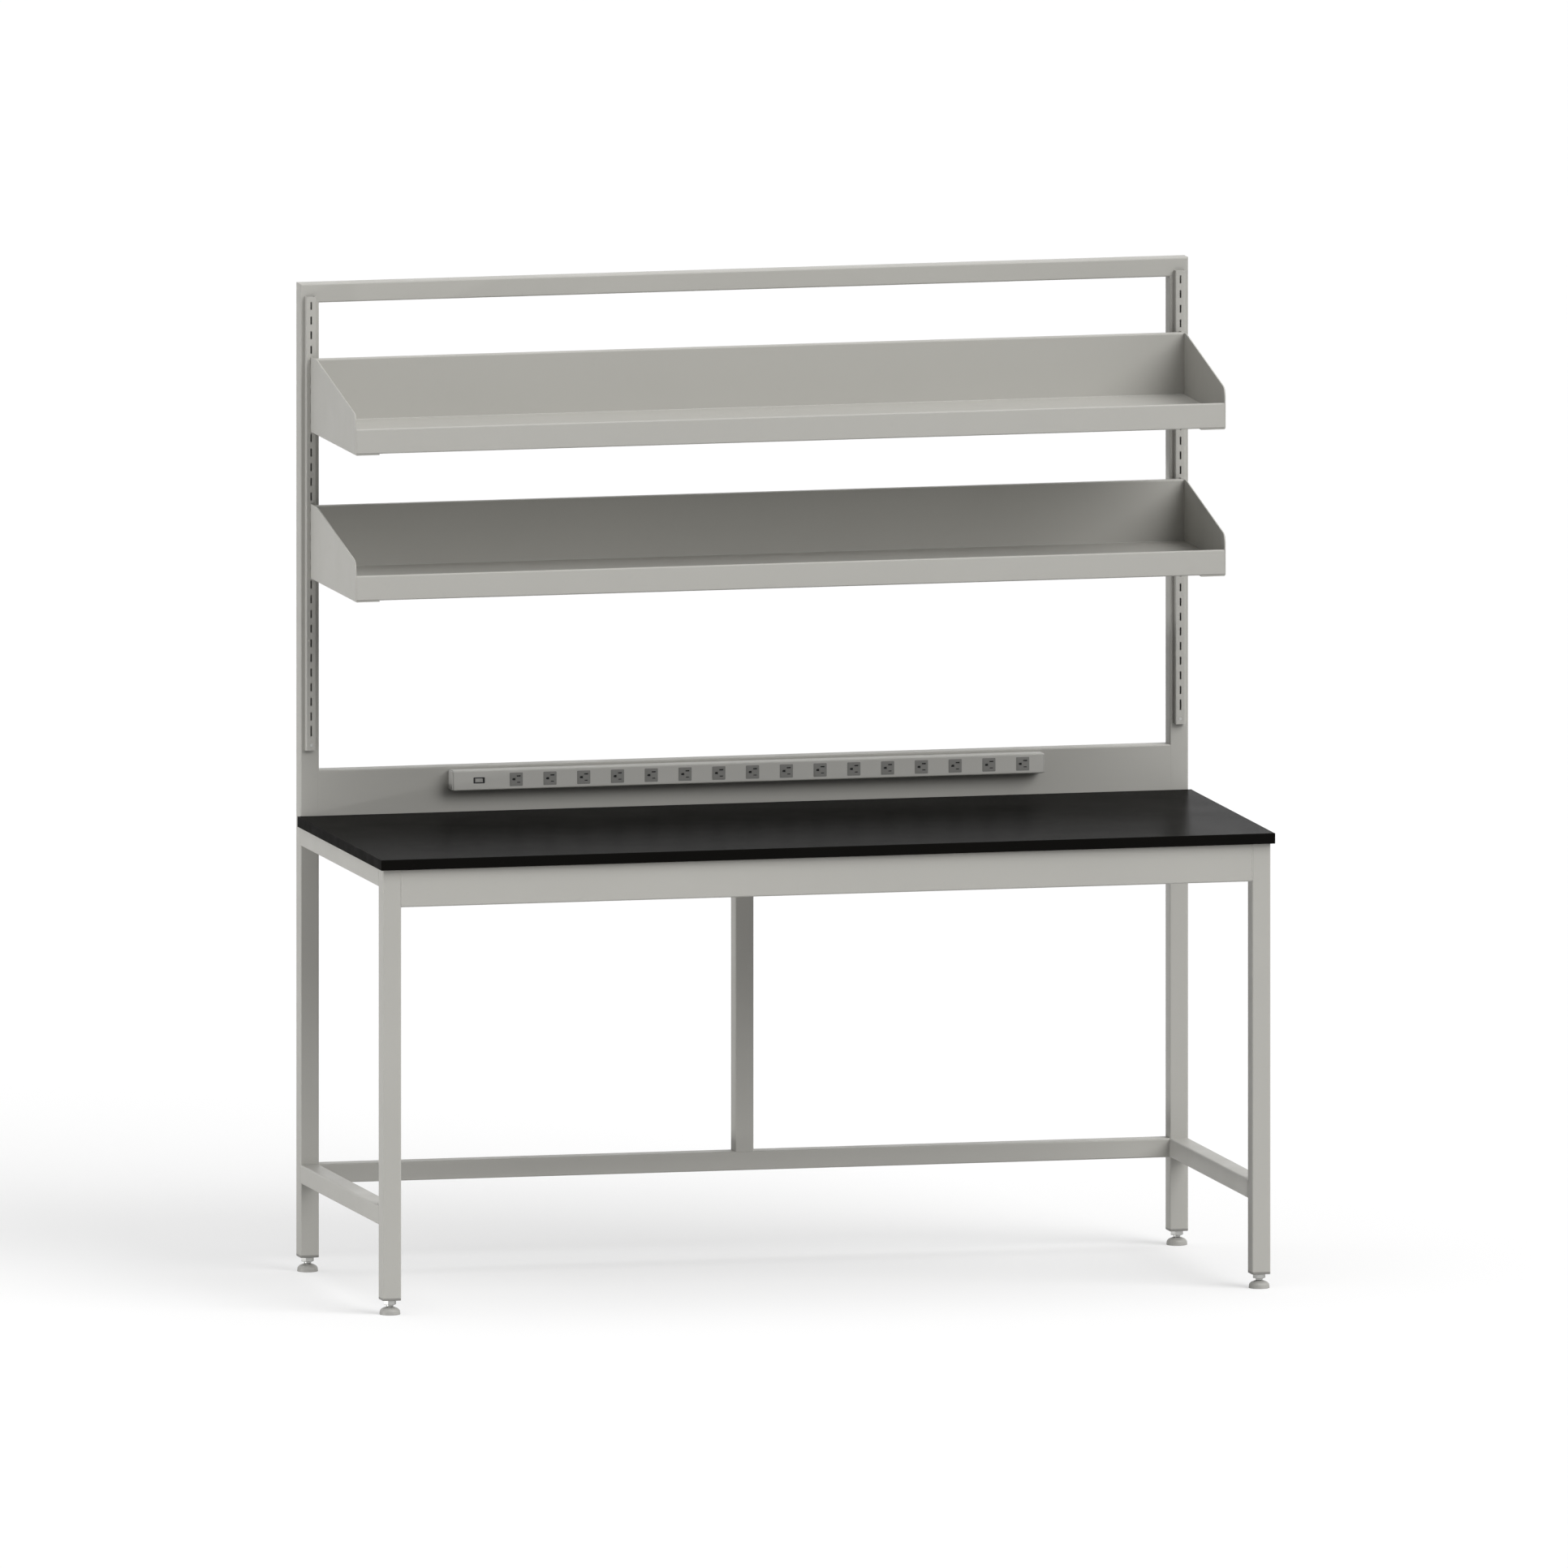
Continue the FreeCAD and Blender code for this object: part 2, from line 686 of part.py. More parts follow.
caps = []
inserts = []
for name, side, y in corners:
    x = side * leg_x
    caps.append(end_cap(x, y))
    inserts.append(threaded_insert(x, y))
    nodes["foot_stem_" + name] = stem(x, y)
    nodes["foot_pad_" + name] = pad(x, y)
nodes["leg_end_caps"] = group(caps)
nodes["leg_threaded_inserts"] = group(inserts)


# power strip

strip_high = upstand_top - strip_top_gap
strip_low = strip_high - strip_height
strip_back = wall - strip_sheet               # the clips' bases lie behind the housing
strip_front = wall - strip_depth
strip_mid = (strip_low + strip_high) / 2
half_strip = strip_length / 2
outlet_pitch = (strip_length - first_outlet - last_outlet) / (outlet_count - 1)
outlet_x = [-half_strip + first_outlet + n * outlet_pitch for n in range(outlet_count)]
switch_x = -half_strip + switch_place
switch_width, switch_height = bezel_width - 2 * bezel_lap, bezel_height - 2 * bezel_lap
lid_front = strip_back - 2 * strip_sheet
lid_inset = strip_sheet + strip_bend
lid_reach = half_strip - lid_screw_inset
lid_screw_x = [lid_reach * (2 * n / (lid_screw_count - 1) - 1) for n in range(lid_screw_count)]
lid_screw_z = [strip_high - lip_screw if abs(x) < lid_reach - over else strip_low + lip_screw
               for x in lid_screw_x]
lid_screws = list(zip(lid_screw_x, lid_screw_z))


def strip_housing():
    # channel with in-turned rear lips, open for the outlets and the switch
    path = [(strip_back, strip_low + strip_lip), (strip_back, strip_low), (strip_front, strip_low),
            (strip_front, strip_high), (strip_back, strip_high), (strip_back, strip_high - strip_lip)]
    path.reverse()
    reach = half_strip - strip_cap
    channel = prism("x", -reach, reach, folded(path, strip_sheet, strip_bend))
    low, high = strip_front - over, strip_front + strip_sheet + over
    size = outlet_body + 2 * fit
    tools = [prism("y", low, high, around(x, strip_mid, size, size)) for x in outlet_x]
    inner = around(switch_x, strip_mid, switch_width + 2 * fit, switch_height + 2 * fit)
    tools.append(prism("y", low, high, inner))
    for x, z in lid_screws:
        start = FreeCAD.Vector(x, strip_back - strip_sheet - over, z)
        tools.append(screw_hole(start, along_y, screw_radius + fit, strip_sheet + 2 * over))
    return cut_all(channel, tools)


def strip_lid():
    # back plate that lies inside the housing, on its rear lips
    length = strip_length - 2 * strip_cap
    edge = around(0, strip_mid, length, strip_height - 2 * lid_inset)
    plate = prism("y", lid_front, lid_front + strip_sheet, edge)
    holes = []
    for x, z in lid_screws:
        start = FreeCAD.Vector(x, lid_front - over, z)
        holes.append(screw_hole(start, along_y, screw_radius + thread_gap, strip_sheet + 2 * over))
    return cut_all(plate, holes)


def strip_end(side):
    # moulded end: outer plate and a plug in the housing, with a collared inlet on the right
    outer = side * half_strip
    inner = outer - side * strip_cap
    plug_end = inner - side * strip_plug
    plug_v = strip_height - 2 * (strip_sheet + fit)
    plug_u = lid_front - strip_front - strip_sheet - 2 * fit
    plug_y = (lid_front + strip_front + strip_sheet) / 2
    face = rect(strip_front, strip_back, strip_low, strip_high, strip_sheet + strip_bend)
    plate = prism("x", *sorted((inner, outer)), face)
    ring = prism("x", *sorted((plug_end, inner)), clipped(plug_y, strip_mid, plug_u, plug_v, strip_bend),
                 around(plug_y, strip_mid, plug_u - 2 * strip_plug_wall, plug_v - 2 * strip_plug_wall))
    solid = fuse_all(plate, [ring])
    if side == left:
        return solid
    middle = FreeCAD.Vector(outer, plug_y, strip_mid)
    root, rim = inlet_radius + 2 * inlet_wall, inlet_radius + inlet_wall
    collar = turned(middle, along_x, stem_sides, (root, -over), (rim, inlet_collar))
    bore = turned(
        middle, along_x, stem_sides, (inlet_radius, -strip_cap - over), (inlet_radius, inlet_collar + over))
    return fuse_all(solid, [collar]).cut(bore)


def clip(x):
    # spring clip: base on the panel and two arms over the housing
    path = [(strip_back - clip_arm, strip_high + strip_sheet), (wall, strip_high + strip_sheet),
            (wall, strip_low - strip_sheet), (strip_back - clip_arm, strip_low - strip_sheet)]
    path.reverse()
    shape = prism("x", x - clip_width / 2, x + clip_width / 2, folded(path, strip_sheet, clip_bend))
    start = FreeCAD.Vector(x, wall - strip_sheet - over, clip_screw_z)
    return shape.cut(screw_hole(start, along_y, screw_radius + fit, strip_sheet + 2 * over))


# each bar's height, and the gap between its leaves
bars = (
    (strip_mid + blade_spacing / 2, blade_width - 2 * leaf_grip),
    (strip_mid - blade_spacing / 2, blade_width - 2 * leaf_grip),
    (strip_mid, 2 * ground_radius - 2 * leaf_grip),
)


def outlet(x):
    # snap-in outlet, turned a quarter, with a channel behind each opening for its bar
    face = clipped(x, strip_mid, outlet_face, outlet_face, outlet_corner)
    flange = prism("y", strip_front - outlet_proud, strip_front, face)
    body_back = strip_front + outlet_depth
    body = prism("y", strip_front, body_back, around(x, strip_mid, outlet_body, outlet_body))
    face_front = strip_front - outlet_proud
    face_back = face_front + outlet_face_wall
    tools = []
    for z, pinch in bars:
        half = pinch / 2 + leaf + fit
        channel = rect(face_back, body_back + over, z - half, z + half)
        tools.append(prism("x", x - outlet_body / 2 - over, x + outlet_body / 2 + over, channel))
    for z in (strip_mid - blade_spacing / 2, strip_mid + blade_spacing / 2):
        slot = around(x + blade_inset, z, blade_length, blade_width)
        tools.append(prism("y", face_front - over, face_back + over, slot))
    opening = clipped(x - ground_inset, strip_mid, 2 * ground_radius, 2 * ground_radius, ground_corner)
    tools.append(prism("y", face_front - over, face_back + over, opening))
    return cut_all(fuse_all(flange, [body]), tools)


def bus(z, pinch):
    # brass bar folded to a channel, whose two leaves grip the pins of every plug
    rear = strip_front + outlet_depth
    tip = rear - leaf_reach
    edge = pinch / 2 + leaf
    low, high = outlet_x[0] - outlet_face / 2, outlet_x[-1] + outlet_face / 2
    path = [(tip, z - edge), (rear, z - edge), (rear, z + edge), (tip, z + edge)]
    return prism("x", low, high, folded(path, leaf, 0.0))


pan_screw = (
    (screw_head, -pan_head_height), (screw_head, 0), (screw_radius, 0), (screw_radius, pan_screw_length))
nodes["strip_housing"] = strip_housing()
nodes["strip_back_plate"] = strip_lid()
for name, side in sides:
    nodes["strip_end_cap_" + name] = strip_end(side)
nodes["strip_clips"] = group([clip(x) for x in clip_places])
nodes["strip_outlets"] = group([outlet(x) for x in outlet_x])
for name, (z, pinch) in zip(("line", "neutral", "ground"), bars):
    nodes["strip_bus_" + name] = bus(z, pinch)
screws = [turned(FreeCAD.Vector(x, strip_back, z), forward, screw_sides, *pan_screw) for x, z in lid_screws]
for x in clip_places:
    place = FreeCAD.Vector(x, wall - strip_sheet, clip_screw_z)
    screws.append(turned(place, along_y, screw_sides, *pan_screw))
nodes["strip_screws"] = group(screws)


# rocker switch

bezel_front = strip_front - bezel_proud
pivot_y = bezel_front + pivot_depth
switch_pivot = FreeCAD.Vector(switch_x, pivot_y, strip_mid)
well_length = rocker_length + 2 * rocker_end_gap
well_height = rocker_height + 2 * rocker_gap
switch_back = strip_front + switch_depth
well_back = switch_back - switch_floor
axle_length = well_height + 2 * axle_seat
terminal_x = [switch_x + place for place in terminal_places]


def switch_housing():
    face = around(switch_x, strip_mid, bezel_width, bezel_height, bezel_corner)
    bezel = prism("y", bezel_front, strip_front, face)
    body = prism("y", strip_front, switch_back, around(switch_x, strip_mid, switch_width, switch_height))
    well = prism("y", bezel_front - over, well_back, around(switch_x, strip_mid, well_length, well_height))
    half_axle = axle_length / 2 + fit
    bearing = rod(switch_pivot - along_z * half_axle, along_z, axle_radius + thread_gap, 2 * half_axle)
    holes = [well, bearing]
    for x in terminal_x:
        slit = around(x, strip_mid, terminal_thickness + fit, terminal_width + fit)
        holes.append(prism("y", well_back - over, switch_back + over, slit))
    return cut_all(fuse_all(bezel, [body]), holes)


def rocker():
    # two shallow faces that meet at the pivot, lying in the switch's rest state
    half = rocker_length / 2
    outline = [(-half, -rocker_horn), (0, -rocker_dip), (half, -rocker_horn),
               (half - rocker_draft, -rocker_side), (rocker_foot, rocker_foot_depth),
               (-rocker_foot, rocker_foot_depth), (rocker_draft - half, -rocker_side)]
    shape = [(switch_x + x, pivot_y + y, rocker_round if x else 0) for x, y in outline]
    solid = prism("z", strip_mid - rocker_height / 2, strip_mid + rocker_height / 2, shape)
    axle = rod(switch_pivot - along_z * (axle_length / 2), along_z, axle_radius, axle_length)
    solid = fuse_all(solid, [axle])
    solid.rotate(switch_pivot, along_z, -rocker_tilt)
    return solid


nodes["switch_housing"] = switch_housing()
nodes["switch_rocker"] = rocker()
terminals = []
for x in terminal_x:
    blade = around(x, strip_mid, terminal_thickness, terminal_width)
    terminals.append(prism("y", well_back - terminal_tip, switch_back + terminal_reach, blade))
nodes["switch_terminals"] = group(terminals)


os.makedirs("parts", exist_ok=True)
for name, shape in nodes.items():
    shape.exportStep("parts/" + name + ".step")
    print(name, len(shape.Solids), round(shape.Volume), shape.isValid())
print(len(nodes), "nodes")
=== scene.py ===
import json
import math

import bmesh
import bpy
from mathutils import Matrix, Vector


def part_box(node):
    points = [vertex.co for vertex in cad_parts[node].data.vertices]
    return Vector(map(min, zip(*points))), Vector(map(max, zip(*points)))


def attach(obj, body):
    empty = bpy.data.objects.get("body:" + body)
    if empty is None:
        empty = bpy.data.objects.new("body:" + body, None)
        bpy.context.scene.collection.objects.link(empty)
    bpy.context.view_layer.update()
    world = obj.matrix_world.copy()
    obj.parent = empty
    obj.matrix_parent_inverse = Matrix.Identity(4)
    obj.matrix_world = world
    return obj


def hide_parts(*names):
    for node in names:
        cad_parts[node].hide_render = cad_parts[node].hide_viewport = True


# Lab bench with two reagent shelves on slotted standards, an upstand with a power strip,
# and levelling feet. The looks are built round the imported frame, in metres, +Z up.

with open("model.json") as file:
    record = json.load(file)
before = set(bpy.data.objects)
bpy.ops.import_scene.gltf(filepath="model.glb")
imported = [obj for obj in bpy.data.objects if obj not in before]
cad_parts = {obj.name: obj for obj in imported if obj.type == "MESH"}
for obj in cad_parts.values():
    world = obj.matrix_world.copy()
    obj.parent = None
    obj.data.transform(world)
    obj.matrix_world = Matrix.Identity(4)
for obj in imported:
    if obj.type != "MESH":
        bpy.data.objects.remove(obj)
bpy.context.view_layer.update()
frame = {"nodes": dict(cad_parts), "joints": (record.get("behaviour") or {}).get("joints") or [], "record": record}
nodes = frame["nodes"]
sides = (("left", -1), ("right", 1))
print("frame loaded:", len(nodes), "nodes")


# materials

middleRange = (0.3, 0.7)      # where most of a noise lies
wearRange = (0.66, 0.74)      # its peaks, as small specks


def noiseOf(tree, coordinates, scale, detail=2.0, stretch=(1, 1, 1)):
    # noise over the piece's own coordinates, in cycles per metre
    mapping = tree.nodes.new("ShaderNodeMapping")
    mapping.inputs["Scale"].default_value = stretch
    tree.links.new(coordinates.outputs["Object"], mapping.inputs["Vector"])
    noise = tree.nodes.new("ShaderNodeTexNoise")
    noise.inputs["Scale"].default_value = scale
    noise.inputs["Detail"].default_value = detail
    tree.links.new(mapping.outputs["Vector"], noise.inputs["Vector"])
    return noise


def spread(tree, source, low, high, start=middleRange[0], end=middleRange[1]):
    # a range of the noise carried to low..high
    remap = tree.nodes.new("ShaderNodeMapRange")
    remap.inputs["From Min"].default_value = start
    remap.inputs["From Max"].default_value = end
    remap.inputs["To Min"].default_value = low
    remap.inputs["To Max"].default_value = high
    tree.links.new(source.outputs["Fac"], remap.inputs["Value"])
    return remap


def finish(name, look):
    # a surface with clouded tone, grain, uneven gloss and fine specks of wear
    material = bpy.data.materials.new(name)
    material.use_nodes = True
    tree = material.node_tree
    shader = tree.nodes["Principled BSDF"]
    coordinates = tree.nodes.new("ShaderNodeTexCoord")
    stretch = look.get("stretch", (1, 1, 1))

    cloud = spread(tree, noiseOf(tree, coordinates, look["cloudScale"], 3.0), 0.0, 1.0)
    tone = tree.nodes.new("ShaderNodeMix")
    tone.data_type = "RGBA"
    tone.inputs["A"].default_value = (*[part * (1 - look["cloud"]) for part in look["colour"]], 1)
    tone.inputs["B"].default_value = (*[part * (1 + look["cloud"]) for part in look["colour"]], 1)
    tree.links.new(cloud.outputs["Result"], tone.inputs["Factor"])

    specks = noiseOf(tree, coordinates, look["wearScale"], 4.0, stretch)
    wear = spread(tree, specks, 0.0, look["wear"], *wearRange)
    worn = tree.nodes.new("ShaderNodeMix")
    worn.data_type = "RGBA"
    worn.inputs["B"].default_value = (*look["wearColour"], 1)
    tree.links.new(wear.outputs["Result"], worn.inputs["Factor"])
    tree.links.new(tone.outputs["Result"], worn.inputs["A"])
    tree.links.new(worn.outputs["Result"], shader.inputs["Base Color"])

    gloss = noiseOf(tree, coordinates, look["glossScale"], 3.0, stretch)
    smoothest, dullest = look["roughness"] - look["glossSpread"], look["roughness"] + look["glossSpread"]
    roughness = spread(tree, gloss, smoothest, dullest)
    tree.links.new(roughness.outputs["Result"], shader.inputs["Roughness"])

    grain = noiseOf(tree, coordinates, look["grainScale"], look.get("grainDetail", 2.0), stretch)
    bump = tree.nodes.new("ShaderNodeBump")
    bump.inputs["Strength"].default_value = look["bump"]
    bump.inputs["Distance"].default_value = look["bumpDepth"]
    tree.links.new(grain.outputs["Fac"], bump.inputs["Height"])
    tree.links.new(bump.outputs["Normal"], shader.inputs["Normal"])

    shader.inputs["Metallic"].default_value = look.get("metal", 0.0)
    shader.inputs["Specular IOR Level"].default_value = look.get("specular", 0.5)
    return material


powderCoat = {
    "colour": (0.412, 0.405, 0.378), "cloud": 0.025, "cloudScale": 2.2, "specular": 0.22,
    "roughness": 0.46, "glossSpread": 0.05, "glossScale": 14.0,
    "grainScale": 900.0, "bump": 0.22, "bumpDepth": 0.0004,
    "wear": 0.10, "wearScale": 60.0, "wearColour": (0.33, 0.325, 0.31),
}
framePaint = finish("frame_paint", powderCoat)
shelfPaint = finish("shelf_paint", {**powderCoat, "cloudScale": 1.6, "wear": 0.08})
stripPaint = finish("strip_paint", {
    **powderCoat, "colour": (0.475, 0.469, 0.442), "grainScale": 1300.0, "bump": 0.12, "roughness": 0.4})
laminate = finish("laminate", {
    "colour": (0.0038, 0.0036, 0.0033), "cloud": 0.05, "cloudScale": 3.0, "specular": 0.0013,
    "roughness": 0.225, "glossSpread": 0.02, "glossScale": 9.0,
    "grainScale": 1500.0, "grainDetail": 3.0, "bump": 0.35, "bumpDepth": 0.0003,
    "wear": 0.12, "wearScale": 210.0, "wearColour": (0.016, 0.0155, 0.015),
})
edgeBand = finish("edge_band", {
    "colour": (0.0052, 0.0049, 0.0044), "cloud": 0.08, "cloudScale": 5.0, "specular": 0.006,
    "roughness": 0.45, "glossSpread": 0.05, "glossScale": 30.0,
    "grainScale": 1200.0, "bump": 0.2, "bumpDepth": 0.0003,
    "wear": 0.2, "wearScale": 160.0, "wearColour": (0.02, 0.019, 0.018),
})
backer = finish("backer", {
    "colour": (0.055, 0.040, 0.030), "cloud": 0.08, "cloudScale": 7.0,
    "roughness": 0.62, "glossSpread": 0.05, "glossScale": 20.0,
    "grainScale": 800.0, "bump": 0.2, "bumpDepth": 0.0003,
    "wear": 0.1, "wearScale": 90.0, "wearColour": (0.09, 0.07, 0.055),
})
coreBoard = finish("core_board", {
    "colour": (0.42, 0.31, 0.19), "cloud": 0.14, "cloudScale": 160.0,
    "roughness": 0.8, "glossSpread": 0.05, "glossScale": 90.0,
    "grainScale": 420.0, "grainDetail": 4.0, "bump": 0.5, "bumpDepth": 0.0006,
    "wear": 0.4, "wearScale": 260.0, "wearColour": (0.22, 0.15, 0.09),
})
zinc = finish("zinc", {
    "colour": (0.47, 0.47, 0.455), "cloud": 0.06, "cloudScale": 45.0, "metal": 1.0,
    "roughness": 0.40, "glossSpread": 0.08, "glossScale": 300.0,
    "grainScale": 1600.0, "bump": 0.12, "bumpDepth": 0.0002,
    "wear": 0.35, "wearScale": 420.0, "wearColour": (0.34, 0.33, 0.31),
})
brass = finish("brass", {
    "colour": (0.72, 0.53, 0.24), "cloud": 0.05, "cloudScale": 30.0, "metal": 1.0,
    "roughness": 0.3, "glossSpread": 0.08, "glossScale": 120.0,
    "grainScale": 900.0, "stretch": (0.05, 1, 1), "bump": 0.15, "bumpDepth": 0.0002,
    "wear": 0.3, "wearScale": 180.0, "wearColour": (0.40, 0.28, 0.12),
})
mouldedGrey = {
    "colour": (0.225, 0.220, 0.205), "cloud": 0.03, "cloudScale": 25.0,
    "roughness": 0.5, "glossSpread": 0.05, "glossScale": 70.0,
    "grainScale": 1800.0, "bump": 0.2, "bumpDepth": 0.0002,
    "wear": 0.12, "wearScale": 240.0, "wearColour": (0.30, 0.295, 0.28),
}
capPlastic = finish("cap_plastic", mouldedGrey)
padPlastic = finish("pad_plastic", {**mouldedGrey, "colour": (0.33, 0.325, 0.305)})
endPlastic = finish("strip_end_plastic", {
    **mouldedGrey, "colour": (0.40, 0.395, 0.375), "roughness": 0.42})
outletPlastic = finish("outlet_plastic", {
    **mouldedGrey, "colour": (0.195, 0.193, 0.182), "roughness": 0.42})
rockerPlastic = finish("rocker_plastic", {
    **mouldedGrey, "colour": (0.36, 0.355, 0.335), "roughness": 0.38})
switchBlack = finish("switch_black", {
    **mouldedGrey, "colour": (0.010, 0.010, 0.010), "roughness": 0.36, "wearColour": (0.03, 0.03, 0.03)})
# near-black finish: painted shade for the hollow inside the outlets' openings
paintedShadeInside = finish("painted_shade_inside", {
    **mouldedGrey, "colour": (0.008, 0.008, 0.008), "roughness": 0.8, "wearColour": (0.012, 0.012, 0.012)})
slotMaterials = {
    "frame_paint": framePaint, "shelf_paint": shelfPaint, "strip_paint": stripPaint, "laminate": laminate,
    "edge_band": edgeBand, "backer": backer, "core_board": coreBoard, "zinc": zinc, "brass": brass,
    "cap_plastic": capPlastic, "pad_plastic": padPlastic, "strip_end_plastic": endPlastic,
    "outlet_plastic": outletPlastic, "rocker_plastic": rockerPlastic, "switch_black": switchBlack,
}
for row in frame["record"]["subparts"]:
    node = nodes[row["node"]]
    node.data.materials.clear()
    node.data.materials.append(slotMaterials[row["material_slot"]])
print("materials made:", len(slotMaterials))


# shapes

mergeDistance = 0.000002
samePoint = 1e-7
sameLevel = 1e-6
sharpAngle = 60      # degrees between the faces of an arris that gets its round


def place(axis, u, v, w):
    # u and v lie across the axis and w along it
    return {"x": Vector((w, u, v)), "y": Vector((u, w, v)), "z": Vector((u, v, w))}[axis]


def roundedLoop(corners, steps=5):
    # (u, v) points round an outline of (u, v, radius) corners
    points = []
    for index, (u, v, radius) in enumerate(corners):
        if radius == 0:
            points.append((u, v))
            continue
        before, after = corners[index - 1], corners[(index + 1) % len(corners)]
        inward = math.atan2(v - before[1], u - before[0])
        outward = math.atan2(after[1] - v, after[0] - u)
        turn = (outward - inward + math.pi) % (2 * math.pi) - math.pi
        cut = radius * math.tan(abs(turn) / 2)
        aside = math.copysign(math.pi / 2, turn)
        centreU = u - cut * math.cos(inward) + radius * math.cos(inward + aside)
        centreV = v - cut * math.sin(inward) + radius * math.sin(inward + aside)
        for step in range(steps + 1):
            angle = inward - aside + turn * step / steps
            points.append((centreU + radius * math.cos(angle), centreV + radius * math.sin(angle)))
    # two rounds may meet in one point
    return [point for index, point in enumerate(points) if math.dist(point, points[index - 1]) > samePoint]


def rectangle(u0, u1, v0, v1, radius=0.0):
    return [(u0, v0, radius), (u1, v0, radius), (u1, v1, radius), (u0, v1, radius)]


def centred(u, v, width, height, radius=0.0):
    return rectangle(u - width / 2, u + width / 2, v - height / 2, v + height / 2, radius)


def foldedOutline(path, thickness, inside):
    # corners round a sheet folded along a path, with its thickness to the left of it
    normals = []
    for (u0, v0), (u1, v1) in zip(path, path[1:]):
        run = math.hypot(u1 - u0, v1 - v0)
        normals.append(((v0 - v1) / run, (u1 - u0) / run))
    near, far = [], []
    for index, (u, v) in enumerate(path):
        first, second = normals[max(index - 1, 0)], normals[min(index, len(normals) - 1)]
        share = thickness / (1 + first[0] * second[0] + first[1] * second[1])
        isEnd = index in (0, len(path) - 1)
        turnsLeft = first[0] * second[1] - first[1] * second[0] > 0
        nearRadius = 0 if isEnd else inside + thickness * turnsLeft
        farRadius = 0 if isEnd else inside + thickness * (not turnsLeft)
        near.append((u, v, nearRadius))
        far.append((u + (first[0] + second[0]) * share, v + (first[1] + second[1]) * share, farRadius))
    return near + far[::-1]


def only(kind, items):
    return [item for item in items if isinstance(item, kind)]


def solidFrom(mesh, faces, move):
    # faces carried along a move, with walls between
    made = bmesh.ops.extrude_face_region(mesh, geom=faces)
    bmesh.ops.translate(mesh, vec=move, verts=only(bmesh.types.BMVert, made["geom"]))


def addPrism(mesh, axis, low, high, corners, steps=5):
    # closed solid of an outline carried along the axis
    ring = [mesh.verts.new(place(axis, u, v, low)) for u, v in roundedLoop(corners, steps)]
    solidFrom(mesh, [mesh.faces.new(ring)], place(axis, 0, 0, high - low))


def addSheet(mesh, axis, level, corners, holes=(), steps=3):
    # flat face across the axis, with any holes in it
    edges = []
    for loop in (corners, *holes):
        ring = [mesh.verts.new(place(axis, u, v, level)) for u, v in roundedLoop(loop, steps)]
        edges += [mesh.edges.new((ring[n - 1], ring[n])) for n in range(len(ring))]
    filled = bmesh.ops.triangle_fill(mesh, edges=edges, use_beauty=True, use_dissolve=False)
    return only(bmesh.types.BMFace, filled["geom"])


def addPlate(mesh, axis, low, high, corners, holes, steps=3):
    # closed plate with holes through it
    solidFrom(mesh, addSheet(mesh, axis, low, corners, holes, steps), place(axis, 0, 0, high - low))


def addTurned(mesh, middle, profile, axis="z", steps=32):
    # closed solid turned about a line through the middle, from (radius, distance) points
    verts = [mesh.verts.new(middle + place(axis, radius, 0, along)) for radius, along in profile]
    edges = [mesh.edges.new(pair) for pair in zip(verts, verts[1:])]
    bmesh.ops.spin(mesh, geom=verts + edges, cent=middle, axis=place(axis, 0, 0, 1),
                   angle=2 * math.pi, steps=steps, use_merge=True)


def joined(mesh, part):
    # a part shaped in a mesh of its own, added to another
    holder = bpy.data.meshes.new("part")
    part.to_mesh(holder)
    part.free()
    mesh.from_mesh(holder)
    bpy.data.meshes.remove(holder)


def facing(mesh, direction):
    # an open sheet turned so that its widest face looks along the direction
    bmesh.ops.recalc_face_normals(mesh, faces=mesh.faces)
    widest = max(mesh.faces, key=lambda face: face.calc_area() * abs(face.normal.dot(direction)))
    if widest.normal.dot(direction) < 0:
        bmesh.ops.reverse_faces(mesh, faces=mesh.faces)


def rimAt(mesh, index, level):
    # open edges that lie in one plane across an axis
    return [edge for edge in mesh.edges
            if edge.is_boundary and all(abs(vert.co[index] - level) < sameLevel for vert in edge.verts)]


def curled(mesh, edges, centre, axis, angle, steps=5):
    # edges swept round a fold, giving the last ones
    made = bmesh.ops.spin(mesh, geom=edges, cent=centre, axis=axis, angle=angle, steps=steps)
    return only(bmesh.types.BMEdge, made["geom_last"])


def drawn(mesh, edges, move):
    # edges carried straight on, giving the new ones
    made = bmesh.ops.extrude_edge_only(mesh, edges=edges)
    verts = only(bmesh.types.BMVert, made["geom"])
    bmesh.ops.translate(mesh, vec=move, verts=verts)
    return [edge for edge in mesh.edges if edge.verts[0] in verts and edge.verts[1] in verts]


def thickened(piece, thickness, arris):
    # sheet metal: a wall inward from the modelled face, with its cut edges broken
    wall = piece.modifiers.new("wall", "SOLIDIFY")
    wall.thickness = thickness
    wall.offset = -1
    wall.use_even_offset = True
    edge = piece.modifiers.new("arris", "BEVEL")
    edge.width = arris
    edge.segments = 2
    edge.limit_method = "ANGLE"
    edge.angle_limit = math.radians(sharpAngle)
    edge.use_clamp_overlap = False


def roundEdges(mesh, edges, width, steps=2, clamped=False):
    # clamped rounds stop where they would run into each other
    bmesh.ops.bevel(mesh, geom=edges, offset=width, segments=steps, profile=0.5, affect="EDGES",
                    clamp_overlap=clamped, material=-1)


def softenEdges(mesh, width, clamped=True):
    # small round on every sharp arris
    sharp = [edge for edge in mesh.edges
             if edge.is_manifold and edge.calc_face_angle(0) > math.radians(sharpAngle)]
    roundEdges(mesh, sharp, width, clamped=clamped)


def linked(name, data):
    # object of this data, in the scene
    thing = bpy.data.objects.new(name, data)
    bpy.context.scene.collection.objects.link(thing)
    return thing


pieces = []


